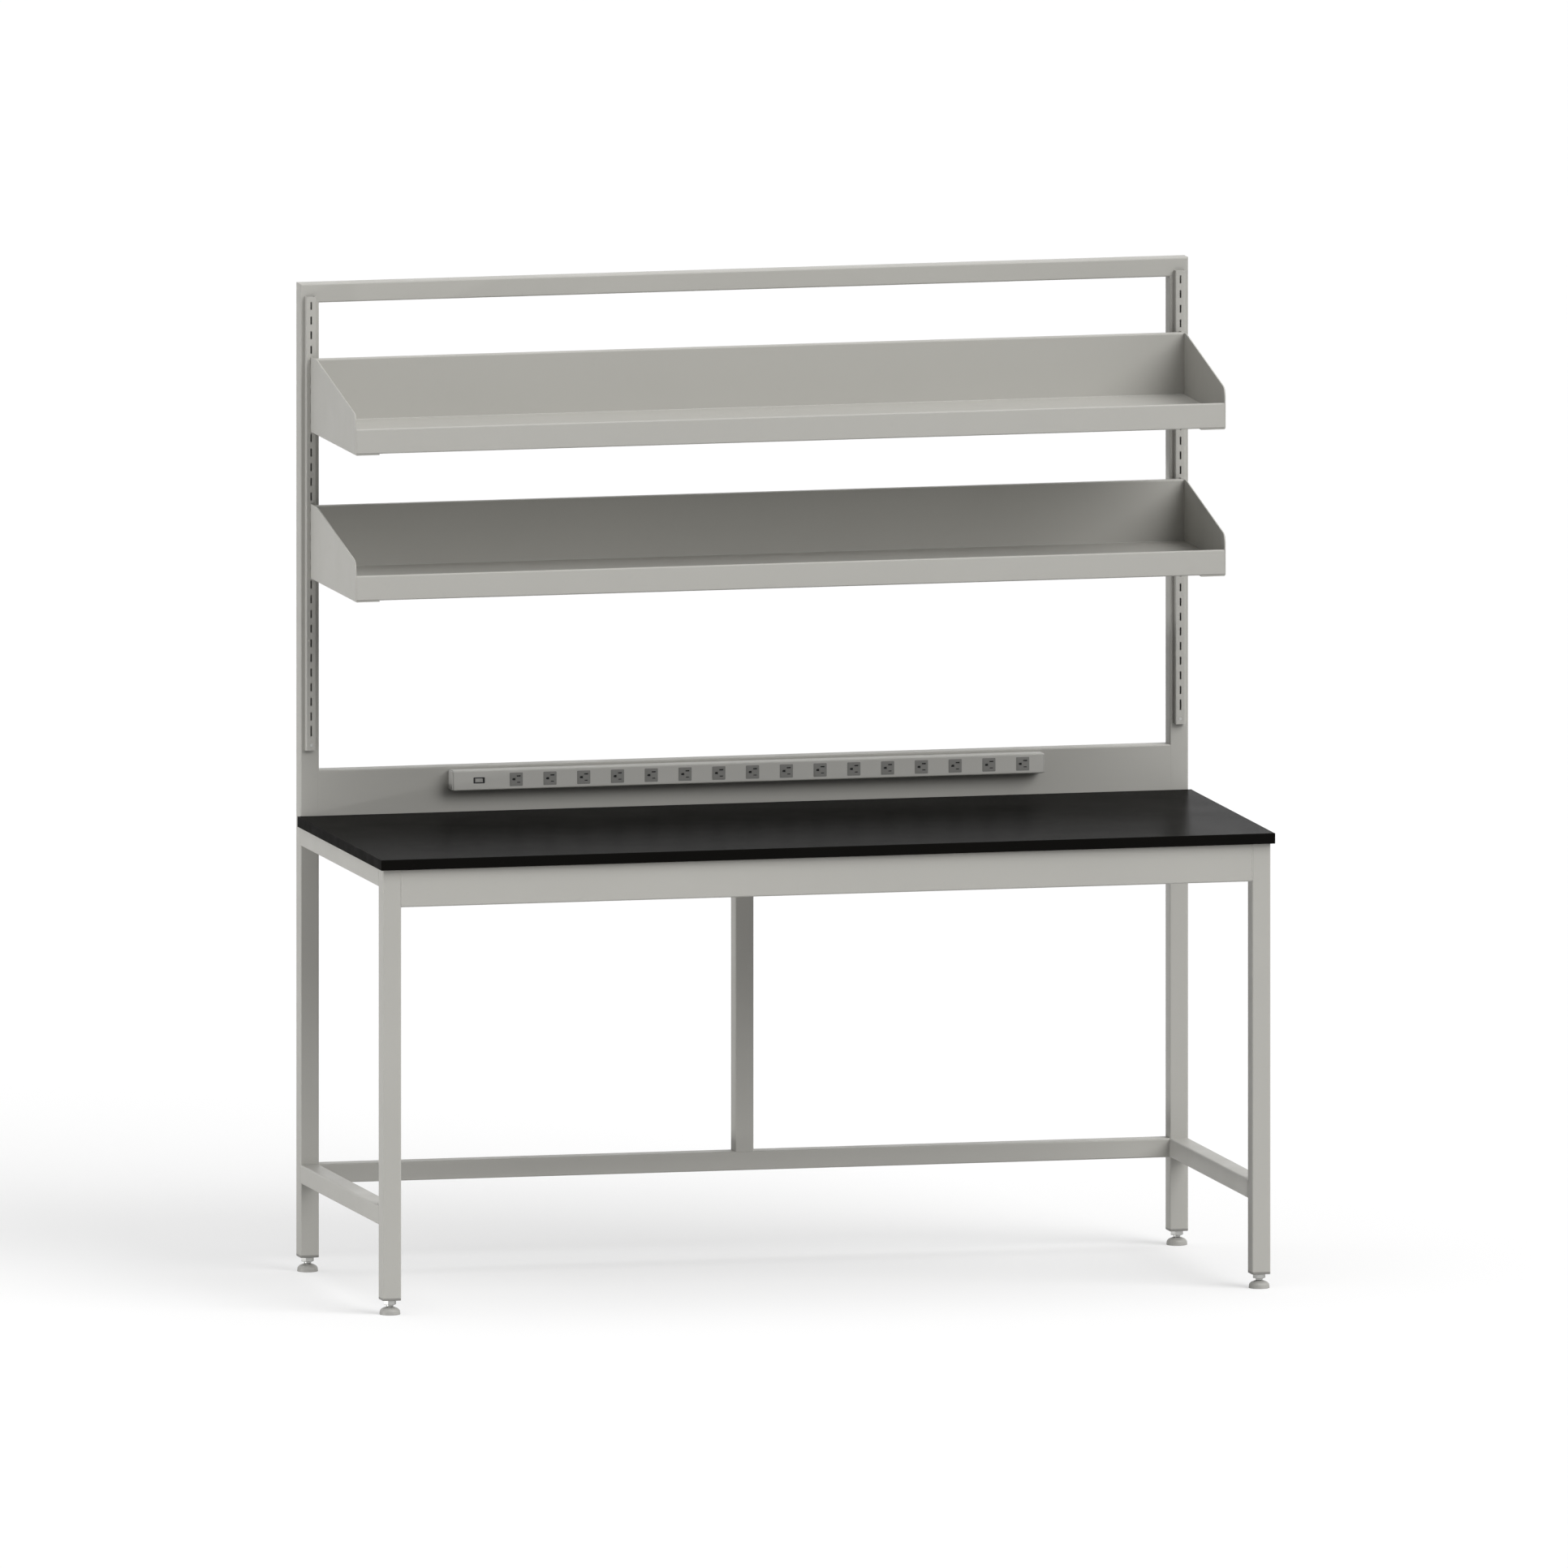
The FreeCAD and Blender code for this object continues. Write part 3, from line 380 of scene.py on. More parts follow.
def finished(name, mesh, slot, body, replaced=(), smooth=32, outward=None):
    # merged, faces outward, smooth up to an angle, riding on its body
    bmesh.ops.remove_doubles(mesh, verts=mesh.verts, dist=mergeDistance)
    bmesh.ops.recalc_face_normals(mesh, faces=mesh.faces)
    if outward:
        facing(mesh, Vector(outward))
    data = bpy.data.meshes.new(name)
    mesh.to_mesh(data)
    mesh.free()
    data.shade_smooth()
    data.set_sharp_from_angle(angle=math.radians(smooth))
    data.materials.append(slotMaterials[slot])
    piece = linked(name, data)
    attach(piece, body)
    if replaced:
        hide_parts(*replaced)
    pieces.append(piece)
    return piece


# frame tubes

tubeLook = {"corner": 0.0032, "steps": 6}
plainTubes = (
    "front_leg_left", "front_leg_right", "side_top_rail_left", "side_top_rail_right",
    "side_lower_rail_left", "side_lower_rail_right", "front_apron_rail", "rear_top_rail",
    "rear_lower_rail", "rear_centre_leg", "worktop_bearer",
)


def addTube(mesh, name):
    low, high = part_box(name)
    size = high - low
    axis = "xyz"[max(range(3), key=lambda index: size[index])]
    across = [index for index in range(3) if "xyz"[index] != axis]
    along = "xyz".index(axis)
    u, v = across
    corners = rectangle(low[u], high[u], low[v], high[v], tubeLook["corner"])
    addPrism(mesh, axis, low[along], high[along], corners, tubeLook["steps"])


def cutMitre(mesh, side, keepsUpright):
    # plane through a top corner of the rear frame
    low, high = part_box("top_crossbar")
    corner = Vector((side * high.x, 0, high.z))
    normal = Vector((-side, 0, 1)) if keepsUpright else Vector((side, 0, -1))
    geometry = list(mesh.verts) + list(mesh.edges) + list(mesh.faces)
    bmesh.ops.bisect_plane(mesh, geom=geometry, plane_co=corner, plane_no=normal, clear_outer=True)
    bmesh.ops.holes_fill(mesh, edges=[edge for edge in mesh.edges if edge.is_boundary])


for name in plainTubes:
    mesh = bmesh.new()
    addTube(mesh, name)
    finished("tube_" + name, mesh, "frame_paint", "bench", [name])
for sideName, side in sides:
    name = "rear_upright_" + sideName
    mesh = bmesh.new()
    addTube(mesh, name)
    cutMitre(mesh, side, True)
    finished("tube_" + name, mesh, "frame_paint", "bench", [name])
mesh = bmesh.new()
addTube(mesh, "top_crossbar")
for sideName, side in sides:
    cutMitre(mesh, side, False)
finished("tube_top_crossbar", mesh, "frame_paint", "bench", ["top_crossbar"])
print("frame tubes made")


# welds, under the paint

weldLook = {
    "radius": 0.0020, "sunk": 0.0016, "pitch": 0.0021, "cornerSteps": 4, "fineness": 2,
    "ripple": 0.00022, "waves": ((1.0, 2.4, 0.0), (0.6, 0.9, 1.0)),      # size, pace and start of each
    "smooth": 60,
}


def weldRing(name, axis, level, u0, u1, v0, v1):
    # bead round a tube's end where it meets another tube
    look = weldLook
    sunk = look["sunk"]
    corners = rectangle(u0 + sunk, u1 - sunk, v0 + sunk, v1 - sunk, tubeLook["corner"])
    route = roundedLoop(corners, look["cornerSteps"])
    points = []
    for index, (u, v) in enumerate(route):
        afterU, afterV = route[(index + 1) % len(route)]
        run = math.hypot(afterU - u, afterV - v)
        count = max(1, round(run / look["pitch"]))
        for step in range(count):
            share = step / count
            points.append(place(axis, u + (afterU - u) * share, v + (afterV - v) * share, level))
    curve = bpy.data.curves.new(name, "CURVE")
    curve.dimensions = "3D"
    curve.bevel_depth = look["radius"]
    curve.bevel_resolution = look["fineness"]
    spline = curve.splines.new("POLY")
    spline.points.add(len(points) - 1)
    spline.use_cyclic_u = True
    for index, point in enumerate(points):
        spline.points[index].co = (*point, 1)
        wave = sum(size * math.sin(index * pace + start) for size, pace, start in look["waves"])
        spline.points[index].radius = 1 + look["ripple"] / look["radius"] * wave
    return curve


def beadMesh(curves):
    # the beads as one mesh
    mesh = bmesh.new()
    for curve in curves:
        carrier = linked(curve.name, curve)
        depsgraph = bpy.context.evaluated_depsgraph_get()
        data = bpy.data.meshes.new_from_object(carrier.evaluated_get(depsgraph))
        mesh.from_mesh(data)
        bpy.data.objects.remove(carrier)
        bpy.data.meshes.remove(data)
        bpy.data.curves.remove(curve)
    return mesh


railEnds = {
    "front_apron_rail": "x", "rear_top_rail": "x", "rear_lower_rail": "x",
    "side_top_rail_left": "y", "side_top_rail_right": "y", "side_lower_rail_left": "y",
    "side_lower_rail_right": "y", "worktop_bearer": "y", "rear_centre_leg": "z",
}
beads = []
for name, axis in railEnds.items():
    low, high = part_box(name)
    along = "xyz".index(axis)
    u, v = [index for index in range(3) if index != along]
    for end, level in (("low", low[along]), ("high", high[along])):
        beads.append(weldRing(f"weld_{name}_{end}", axis, level, low[u], high[u], low[v], high[v]))
finished("weld_beads", beadMesh(beads), "frame_paint", "bench", smooth=weldLook["smooth"])
print("welds made:", len(beads))


# worktop

topLook = {"arris": 0.0012, "steps": 4, "laminateArris": 0.00015, "endArris": 0.0004}


def edgeShape(outer, inner, low, high):
    # both outer arrises of an edge band rounded
    radius = topLook["arris"]
    return [(outer, low, radius), (outer, high, radius), (inner, high, 0), (inner, low, 0)]


low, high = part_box("worktop_laminate")
mesh = bmesh.new()
addPrism(mesh, "z", low.z, high.z, rectangle(low.x, high.x, low.y, high.y))
softenEdges(mesh, topLook["laminateArris"])
finished("top_laminate", mesh, "laminate", "bench", ["worktop_laminate"])

low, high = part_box("worktop_edge_front")
mesh = bmesh.new()
addPrism(mesh, "x", low.x, high.x, edgeShape(low.y, high.y, low.z, high.z), topLook["steps"])
softenEdges(mesh, topLook["endArris"])
finished("top_edge_front", mesh, "edge_band", "bench", ["worktop_edge_front"])
for sideName, side in sides:
    low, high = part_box("worktop_edge_" + sideName)
    outer, inner = (low.x, high.x) if side < 0 else (high.x, low.x)
    mesh = bmesh.new()
    addPrism(mesh, "y", low.y, high.y, edgeShape(outer, inner, low.z, high.z), topLook["steps"])
    finished("top_edge_" + sideName, mesh, "edge_band", "bench", ["worktop_edge_" + sideName])

panLook = {
    "profile": [
        (0.0, -0.0020, 0.0), (0.0024, -0.0020, 0.0016), (0.0036, -0.0008, 0.0008), (0.0036, 0.0, 0.0002),
        (0.0020, 0.0, 0.0), (0.0020, 0.0032, 0.0), (0.0, 0.0032, 0.0),
    ],
    "roundSteps": 4, "turnSteps": 24, "shelfReach": 0.0036, "topReach": 0.0048, "topScale": 1.3,
}


def panHead(mesh, axis, middle, towards, scale=1.0):
    # low domed head with the start of its shank; towards is 1 or -1 along the axis
    profile = [(radius * scale, along * towards, arris) for radius, along, arris in panLook["profile"]]
    addTurned(mesh, middle, roundedLoop(profile, panLook["roundSteps"]), axis, panLook["turnSteps"])


# screws up through the side rails and the bearer
low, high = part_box("worktop_screws")
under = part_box("worktop_bearer")[0].z
reach = panLook["topReach"]
mesh = bmesh.new()
for name in ("side_top_rail_left", "worktop_bearer", "side_top_rail_right"):
    railLow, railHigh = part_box(name)
    for y in (low.y + reach, high.y - reach):
        panHead(mesh, "z", Vector(((railLow.x + railHigh.x) / 2, y, under)), 1, panLook["topScale"])
finished("worktop_screw_heads", mesh, "zinc", "bench", ["worktop_screws"])
print("worktop made")


# upstand panel

panelLook = {"sheet": 0.0015, "bend": 0.0015, "rearFlange": 0.025, "footFlange": 0.020, "tuck": 0.0020}
panelLow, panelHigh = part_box("upstand_panel")
path = [
    (panelHigh.y, panelHigh.z - panelLook["rearFlange"]), (panelHigh.y, panelHigh.z),
    (panelLow.y, panelHigh.z), (panelLow.y, panelLow.z),
    (panelLow.y + panelLook["footFlange"], panelLow.z),
]
mesh = bmesh.new()
addPrism(mesh, "x", panelLow.x - panelLook["tuck"], panelHigh.x + panelLook["tuck"],
         foldedOutline(path, panelLook["sheet"], panelLook["bend"]))
finished("upstand", mesh, "frame_paint", "bench", ["upstand_panel"])
print("upstand made")


# slotted standards

standardLook = {
    "wall": 0.0016, "outerRadius": 0.0024, "slotWidth": 0.0032, "slotHeight": 0.016, "longSlot": 0.021,
    "firstSlot": 0.0182, "pitch": 0.0294, "footMargin": 0.024, "slotCorner": 0.0009, "arris": 0.0002,
    "footScrew": 0.011, "screwSlots": (5.5, 15.5), "hole": 0.0037, "holeSteps": 20,
}
screwLook = {
    "head": 0.0035, "dish": 0.0003, "recess": 0.0019, "recessWidth": 0.0005, "depth": 0.0011,
    "plug": 0.0004, "plugShare": 0.8,
}


def ringOf(u, v, radius, count=24):
    steps = [2 * math.pi * (n + 0.5) / count for n in range(count)]
    return [(u + radius * math.cos(step), v + radius * math.sin(step), 0) for step in steps]


def screwHeights(low, high):
    look = standardLook
    heights = [high.z - look["firstSlot"] - slot * look["pitch"] for slot in look["screwSlots"]]
    return [low.z + look["footScrew"], *heights]


def standard(sideName):
    # web with its slots, then both flanges folded back to the upright
    look = standardLook
    name = "shelf_standard_" + sideName
    low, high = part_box(name)
    middle = (low.x + high.x) / 2
    count = int((high.z - low.z - look["firstSlot"] - look["footMargin"]) / look["pitch"]) + 1
    holes = [ringOf(middle, z, look["hole"], look["holeSteps"]) for z in screwHeights(low, high)]
    for index in range(count):
        tall = look["longSlot"] if index == count - 1 else look["slotHeight"]
        z = high.z - look["firstSlot"] - index * look["pitch"]
        holes.append(centred(middle, z, look["slotWidth"], tall, look["slotCorner"]))
    radius = look["outerRadius"]
    half = (high.x - low.x) / 2 - radius
    mesh = bmesh.new()
    addSheet(mesh, "y", low.y, rectangle(middle - half, middle + half, low.z, high.z), holes)
    for side in (-1, 1):
        x = middle + side * half
        rim = curled(mesh, rimAt(mesh, 0, x), (x, low.y + radius, 0), (0, 0, 1), side * math.pi / 2)
        drawn(mesh, rim, (0, high.y - low.y - radius, 0))
    piece = finished("slotted_" + name, mesh, "frame_paint", "bench", [name], outward=(0, -1, 0))
    thickened(piece, look["wall"], look["arris"])


def crossHead(mesh, x, y, z):
    # countersunk head with a cross recess, just under the standard's face
    look = screwLook
    arm, width = look["recess"], look["recessWidth"]
    quarter = [(-arm, -width), (-width, -width), (-width, -arm)]
    cross = []
    for turn in range(4):
        cross += [(x + u, z + v, 0) for u, v in quarter]
        quarter = [(-v, u) for u, v in quarter]
    face = y + look["dish"]
    floor = face + look["depth"]
    addPlate(mesh, "y", face, floor, ringOf(x, z, look["head"]), [cross])
    addPrism(mesh, "y", floor, floor + look["plug"], ringOf(x, z, look["head"] * look["plugShare"]))


mesh = bmesh.new()
for sideName, side in sides:
    standard(sideName)
    low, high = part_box("shelf_standard_" + sideName)
    for z in screwHeights(low, high):
        crossHead(mesh, (low.x + high.x) / 2, low.y, z)
finished("standard_screw_heads", mesh, "zinc", "bench")
print("standards made")


# reagent shelves

trayLook = {
    "sheet": 0.0015, "bend": 0.0015, "lipDepth": 0.006, "lipHeight": 0.0505, "lipReturn": 0.012,
    "floor": 0.0255, "backReturn": 0.014, "foldRelief": 0.005, "foldSteps": 4, "arris": 0.00035,
}
bracketLook = {
    "sheet": 0.0025, "bend": 0.0015, "flange": 0.050, "frontHeight": 0.082, "nose": 0.020,
    "topRun": 0.062, "topCorner": 0.006, "backCorner": 0.001, "cornerSteps": 5, "arris": 0.0004,
}
hookLook = {
    "slots": (0, 2, 4), "rise": 0.008, "nose": 0.007, "thickness": 0.005, "webGap": 0.0003,
    "chamfer": 0.0015, "root": 0.0005, "footGap": 0.6,      # pitches between foot and lowest slot
}


def tray(tier):
    # one folded sheet: hemmed lip, floor and high back, and a flange turned down at each end
    look = trayLook
    name = "shelf_tray_" + tier
    low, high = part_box(name)
    riser, rear = low.y + look["lipDepth"], high.y - look["backReturn"]
    lipTop, floorUnder = low.z + look["lipHeight"], low.z + look["floor"] - look["sheet"]
    path = [
        (riser, lipTop - look["lipReturn"]), (riser, lipTop), (low.y, lipTop), (low.y, low.z),
        (riser, low.z), (riser, floorUnder), (rear, floorUnder),
        (rear, high.z - look["sheet"]), (high.y, high.z - look["sheet"]),
    ]
    mesh = bmesh.new()
    outline = foldedOutline(path, look["sheet"], look["bend"])
    addPrism(mesh, "x", low.x, high.x, outline, look["foldSteps"])
    for side, outer in ((-1, low.x), (1, high.x)):
        flange = rectangle(*sorted((outer, outer - side * look["sheet"])),
                           low.z + look["bend"], floorUnder + look["sheet"] / 2)
        addPrism(mesh, "y", riser + look["foldRelief"], rear - look["foldRelief"], flange)
    softenEdges(mesh, look["arris"], clamped=False)
    finished("folded_" + name, mesh, "shelf_paint", tier + "_shelf", [name])


def bracket(tier, sideName, side):
    # folded plate: sloped front, rounded nose and a flange turned in under the shelf
    look = bracketLook
    name = f"bracket_{tier}_{sideName}"
    low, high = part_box(name)
    standardLow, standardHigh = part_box("shelf_standard_" + sideName)
    outer = low.x if side < 0 else high.x
    wallY = standardHigh.y
    rear = standardLow.y - hookLook["webGap"]
    radius = look["bend"] + look["sheet"]
    outline = [
        (low.y, low.z + radius, 0), (rear, low.z + radius, 0), (rear, high.z, look["backCorner"]),
        (wallY - look["topRun"], high.z, look["topCorner"]),
        (low.y, low.z + look["frontHeight"], look["nose"]),
    ]
    mesh = bmesh.new()
    addSheet(mesh, "x", outer, outline, steps=look["cornerSteps"])
    rim = curled(mesh, rimAt(mesh, 2, low.z + radius), (outer - side * radius, 0, low.z + radius),
                 (0, 1, 0), side * math.pi / 2)
    drawn(mesh, rim, (-side * (look["flange"] - radius), 0, 0))
    piece = finished("folded_" + name, mesh, "shelf_paint", tier + "_shelf", [name], outward=(side, 0, 0))
    thickened(piece, look["sheet"], look["arris"])


def hooks(tier, sideName):
    # three hooks through the slots of the standard
    look = hookLook
    low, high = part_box(f"bracket_{tier}_{sideName}")
    standardLow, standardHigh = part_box("shelf_standard_" + sideName)
    middle = (standardLow.x + standardHigh.x) / 2
    half = bracketLook["sheet"] / 2
    front = standardLow.y + standardLook["wall"] + look["webGap"]
    rear = front + look["thickness"]
    first = standardHigh.z - standardLook["firstSlot"]
    lowest = round((first - low.z) / standardLook["pitch"] - look["footGap"])
    mesh = bmesh.new()
    for step in look["slots"]:
        seat = first - (lowest - step) * standardLook["pitch"] - standardLook["slotHeight"] / 2
        top, tip = seat + look["rise"], seat - look["nose"]
        start = standardLow.y - look["webGap"] - look["root"]
        shape = [(start, seat, 0), (front, seat, 0), (front, tip, 0), (rear, tip, 0),
                 (rear, top, look["chamfer"]), (start, top, 0)]
        addPrism(mesh, "x", middle - half, middle + half, shape)
    finished(f"hooks_{tier}_{sideName}", mesh, "shelf_paint", tier + "_shelf")


def shelfScrews(tier):
    # three heads on each of the tray's end flanges
    name = "shelf_screws_" + tier
    low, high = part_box(name)
    first, last = low.y + panLook["shelfReach"], high.y - panLook["shelfReach"]
    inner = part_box("shelf_tray_" + tier)[1].x - trayLook["sheet"]
    mesh = bmesh.new()
    for sideName, side in sides:
        for y in (first, (first + last) / 2, last):
            panHead(mesh, "x", Vector((side * inner, y, (low.z + high.z) / 2)), side)
    finished("pan_heads_" + tier, mesh, "zinc", tier + "_shelf", [name])


for tier in ("upper", "lower"):
    tray(tier)
    shelfScrews(tier)
    for sideName, side in sides:
        bracket(tier, sideName, side)
        hooks(tier, sideName)
print("shelves made")


# levelling feet

footLook = {
    "pad": [(0.0, 0.0, 0.0), (0.02095, 0.0, 0.0010), (0.0200, 0.0082, 0.0045), (0.0162, 0.0122, 0.0080),
            (0.0092, 0.0150, 0.0008), (0.0048, 0.0150, 0.0003), (0.0048, 0.0125, 0.0), (0.0, 0.0125, 0.0)],
    "neck": [(0.0, 0.0046, 0.0), (0.0040, 0.0046, 0.0), (0.0058, 0.0086, 0.003), (0.0042, 0.0126, 0.001),
             (0.0042, 0.0153, 0.0), (0.0070, 0.0165, 0.0006), (0.0070, 0.0199, 0.0), (0.0, 0.0199, 0.0)],
    "flats": 0.022, "nutLow": 0.0197, "nutHigh": 0.0287, "nutChamfer": 0.0007,
    "pitch": 0.00175, "core": 0.0053, "crest": 0.006, "crestShare": (0.42, 0.58), "shankTop": 0.073,
    "sunk": 0.001, "threadSteps": 20, "roundSteps": 4, "padSteps": 48, "neckSteps": 32, "smooth": 40,
}
capLook = {
    "corner": 0.0032, "arris": 0.0004, "foot": 0.0014, "insertFlats": 0.0172, "thickness": 0.005,
    "cornerSteps": 6, "footSteps": 3, "rimHeight": 0.001, "rimReach": 0.016,
}


def hexagonOf(x, y, flats):
    reach = flats / math.sqrt(3)
    angles = [math.radians(60 * n) for n in range(6)]
    return [(x + reach * math.cos(angle), y + reach * math.sin(angle), 0) for angle in angles]


def footPlace(spot):
    low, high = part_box("foot_pad_" + spot)
    return (low.x + high.x) / 2, (low.y + high.y) / 2


def footPad(spot):
    look = footLook
    name = "foot_pad_" + spot
    mesh = bmesh.new()
    profile = roundedLoop(look["pad"], look["roundSteps"])
    addTurned(mesh, Vector((*footPlace(spot), 0)), profile, steps=look["padSteps"])
    finished("moulded_" + name, mesh, "pad_plastic", "pad_" + spot, [name])


def thread(mesh, middle, low, high):
    # one pitch of the thread's flank, screwed upwards and closed at both ends
    look = footLook
    pitch, steps = look["pitch"], look["threadSteps"]
    first, last = look["crestShare"]
    profile = [(look["core"], 0.0), (look["crest"], first * pitch), (look["crest"], last * pitch),
               (look["core"], pitch)]
    ridge = bmesh.new()
    verts = [ridge.verts.new(middle + Vector((radius, 0, low + along))) for radius, along in profile]
    edges = [ridge.edges.new(pair) for pair in zip(verts, verts[1:])]
    turns = int((high - low) / pitch) - 1
    bmesh.ops.spin(ridge, geom=verts + edges, cent=middle, axis=(0, 0, 1), dvec=(0, 0, pitch / steps),
                   angle=2 * math.pi * turns, steps=turns * steps)
    bmesh.ops.remove_doubles(ridge, verts=ridge.verts, dist=mergeDistance)
    bmesh.ops.holes_fill(ridge, edges=[edge for edge in ridge.edges if edge.is_boundary])
    joined(mesh, ridge)


def footStem(spot):
    # ball, neck, hexagon nut and M12 thread
    look = footLook
    name = "foot_stem_" + spot
    middle = Vector((*footPlace(spot), 0))
    mesh = bmesh.new()
    addTurned(mesh, middle, roundedLoop(look["neck"], look["roundSteps"]), steps=look["neckSteps"])
    nut = bmesh.new()
    addPrism(nut, "z", look["nutLow"], look["nutHigh"], hexagonOf(middle.x, middle.y, look["flats"]))
    rims = [edge for edge in nut.edges if abs(edge.verts[0].co.z - edge.verts[1].co.z) < sameLevel]
    roundEdges(nut, rims, look["nutChamfer"])
    joined(mesh, nut)
    shank = ringOf(middle.x, middle.y, look["core"])
    addPrism(mesh, "z", look["nutHigh"] - look["sunk"], look["shankTop"] - look["sunk"], shank)
    thread(mesh, middle, look["nutHigh"], look["shankTop"])
    finished("turned_" + name, mesh, "zinc", "stem_" + spot, [name], smooth=look["smooth"])


def capRim(mesh, x, y, base, width):
    # end cap round the threaded insert, with a rounded foot
    look = capLook

    def onFoot(vert):
        away = abs(vert.co.x - x) + abs(vert.co.y - y)
        return vert.co.z < base + look["rimHeight"] and away > look["rimReach"]

    part = bmesh.new()
    addPlate(part, "z", base, base + look["thickness"], centred(x, y, width, width, look["corner"]),
             [hexagonOf(x, y, look["insertFlats"])], look["cornerSteps"])
    rim = [edge for edge in part.edges
           if edge.calc_face_angle(0) > math.radians(sharpAngle) and onFoot(edge.verts[0])
           and onFoot(edge.verts[1])]
    roundEdges(part, rim, look["foot"], look["footSteps"])
    softenEdges(part, look["arris"])
    joined(mesh, part)


mesh = bmesh.new()
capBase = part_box("leg_end_caps")[0].z
legLow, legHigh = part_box("front_leg_left")
for spot in ("front_left", "front_right", "rear_left", "rear_right"):
    footPad(spot)
    footStem(spot)
    capRim(mesh, *footPlace(spot), capBase, legHigh.x - legLow.x)
finished("leg_cap_rims", mesh, "cap_plastic", "bench", ["leg_end_caps"])
print("feet made")


# power strip

stripLook = {
    "sheet": 0.0012, "radius": 0.0022, "lip": 0.007, "arris": 0.0002, "outletHole": 0.0242,
    "switchHole": (0.0211, 0.0100),
}
endLook = {
    "wall": 0.003, "arris": 0.0006, "cornerSteps": 6, "inlet": 0.005, "collar": 0.0022,
    "sunk": 0.0006, "outerRound": 0.0008, "innerRound": 0.0006, "roundSteps": 4, "turnSteps": 32,
}
outletLook = {
    "count": 16, "pitch": 0.06906, "first": 0.1308, "face": 0.027, "proud": 0.0015, "corner": 0.0016,
    "arris": 0.00025, "inner": 0.0224, "raised": 0.0003, "sunk": 0.0002, "plateArris": 0.00015,
    "spacing": 0.0127, "bladeInset": 0.005, "blades": ((-1, 0.0066, 0.0019), (1, 0.0082, 0.0027)),
    "bladeCorner": 0.0004, "groundInset": 0.005, "ground": (0.0064, 0.0046), "groundCorner": 0.0006,
    "groundRound": 0.98,      # of half its height
    # depth of the near-black painted-shade block behind each outlet's openings
    "chamberInset": 0.004, "chamber": (0.0006, 0.0014),      # behind the housing's face
    "steps": 4,
}
switchLook = {
    "place": 0.055, "bezel": (0.0233, 0.0122), "bezelCorner": 0.0015, "well": (0.0174, 0.0082),
    "wellCorner": 0.0006, "arris": 0.0006, "wall": 0.0006, "lap": 0.0002, "backSheet": 0.001,
    "depth": 0.012, "steps": 4,
}
rockerLook = {
    "length": 0.0156, "height": 0.0074, "tilt": 9.0, "arris": 0.0004, "steps": 4,
    "end": -0.0046, "endRound": 0.0006, "dip": -0.0036, "dipRound": 0.004,
    "taper": 0.0008, "shoulder": -0.0005, "footHalf": 0.0026, "foot": 0.0030, "footRound": 0.0005,
}
capLow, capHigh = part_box("strip_end_cap_left")
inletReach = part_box("strip_end_cap_right")[1].x
stripLow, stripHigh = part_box("strip_housing")
stripMiddle = (stripLow.z + stripHigh.z) / 2
firstOutlet = capLow.x + outletLook["first"]
outletPlaces = [firstOutlet + n * outletLook["pitch"] for n in range(outletLook["count"])]
switchX = capLow.x + switchLook["place"]


def stripHousing():
    # channel folded round its open back, pierced for outlets and switch
    look = stripLook
    low, high = stripLow, stripHigh
    radius = look["radius"]
    holes = [centred(x, stripMiddle, look["outletHole"], look["outletHole"]) for x in outletPlaces]
    holes.append(centred(switchX, stripMiddle, *look["switchHole"]))
    mesh = bmesh.new()
    addSheet(mesh, "y", low.y, rectangle(low.x, high.x, low.z + radius, high.z - radius), holes)
    for side, edgeZ in ((-1, low.z), (1, high.z)):
        z = edgeZ - side * radius
        rim = curled(mesh, rimAt(mesh, 2, z), (0, low.y + radius, z), (1, 0, 0), -side * math.pi / 2)
        rim = drawn(mesh, rim, (0, high.y - low.y - 2 * radius, 0))
        rim = curled(mesh, rim, (0, high.y - radius, z), (1, 0, 0), -side * math.pi / 2)
        drawn(mesh, rim, (0, 0, -side * (look["lip"] - radius)))
    piece = finished("folded_strip_housing", mesh, "strip_paint", "bench", ["strip_housing"],
                     outward=(0, -1, 0))
    thickened(piece, look["sheet"], look["arris"])


def stripEnd(sideName, side):
    # moulded end cap; the right one has the cord's bushed inlet
    look = endLook
    outer = -side * capLow.x
    x0, x1 = sorted((outer, outer - side * look["wall"]))
    name = "strip_end_cap_" + sideName
    face = rectangle(capLow.y, capHigh.y, stripLow.z, stripHigh.z, stripLook["radius"])
    middleY = (capLow.y + capHigh.y) / 2
    mesh = bmesh.new()
    if side < 0:
        addPrism(mesh, "x", x0, x1, face, look["cornerSteps"])
    else:
        inlet = ringOf(middleY, stripMiddle, look["inlet"], look["turnSteps"])
        addPlate(mesh, "x", x0, x1, face, [inlet], look["cornerSteps"])
    softenEdges(mesh, look["arris"])
    if side > 0:
        inner, wide, reach = look["inlet"], look["inlet"] + look["collar"], inletReach - outer
        collar = [
            (inner, -look["sunk"], 0), (wide, -look["sunk"], 0),
            (wide - look["outerRound"], reach, look["outerRound"]), (inner, reach, look["innerRound"]),
        ]
        profile = roundedLoop(collar, look["roundSteps"])
        middle = Vector((outer, middleY, stripMiddle))
        addTurned(mesh, middle, profile + profile[:1], "x", look["turnSteps"])
    finished("moulded_" + name, mesh, "strip_end_plastic", "bench", [name])


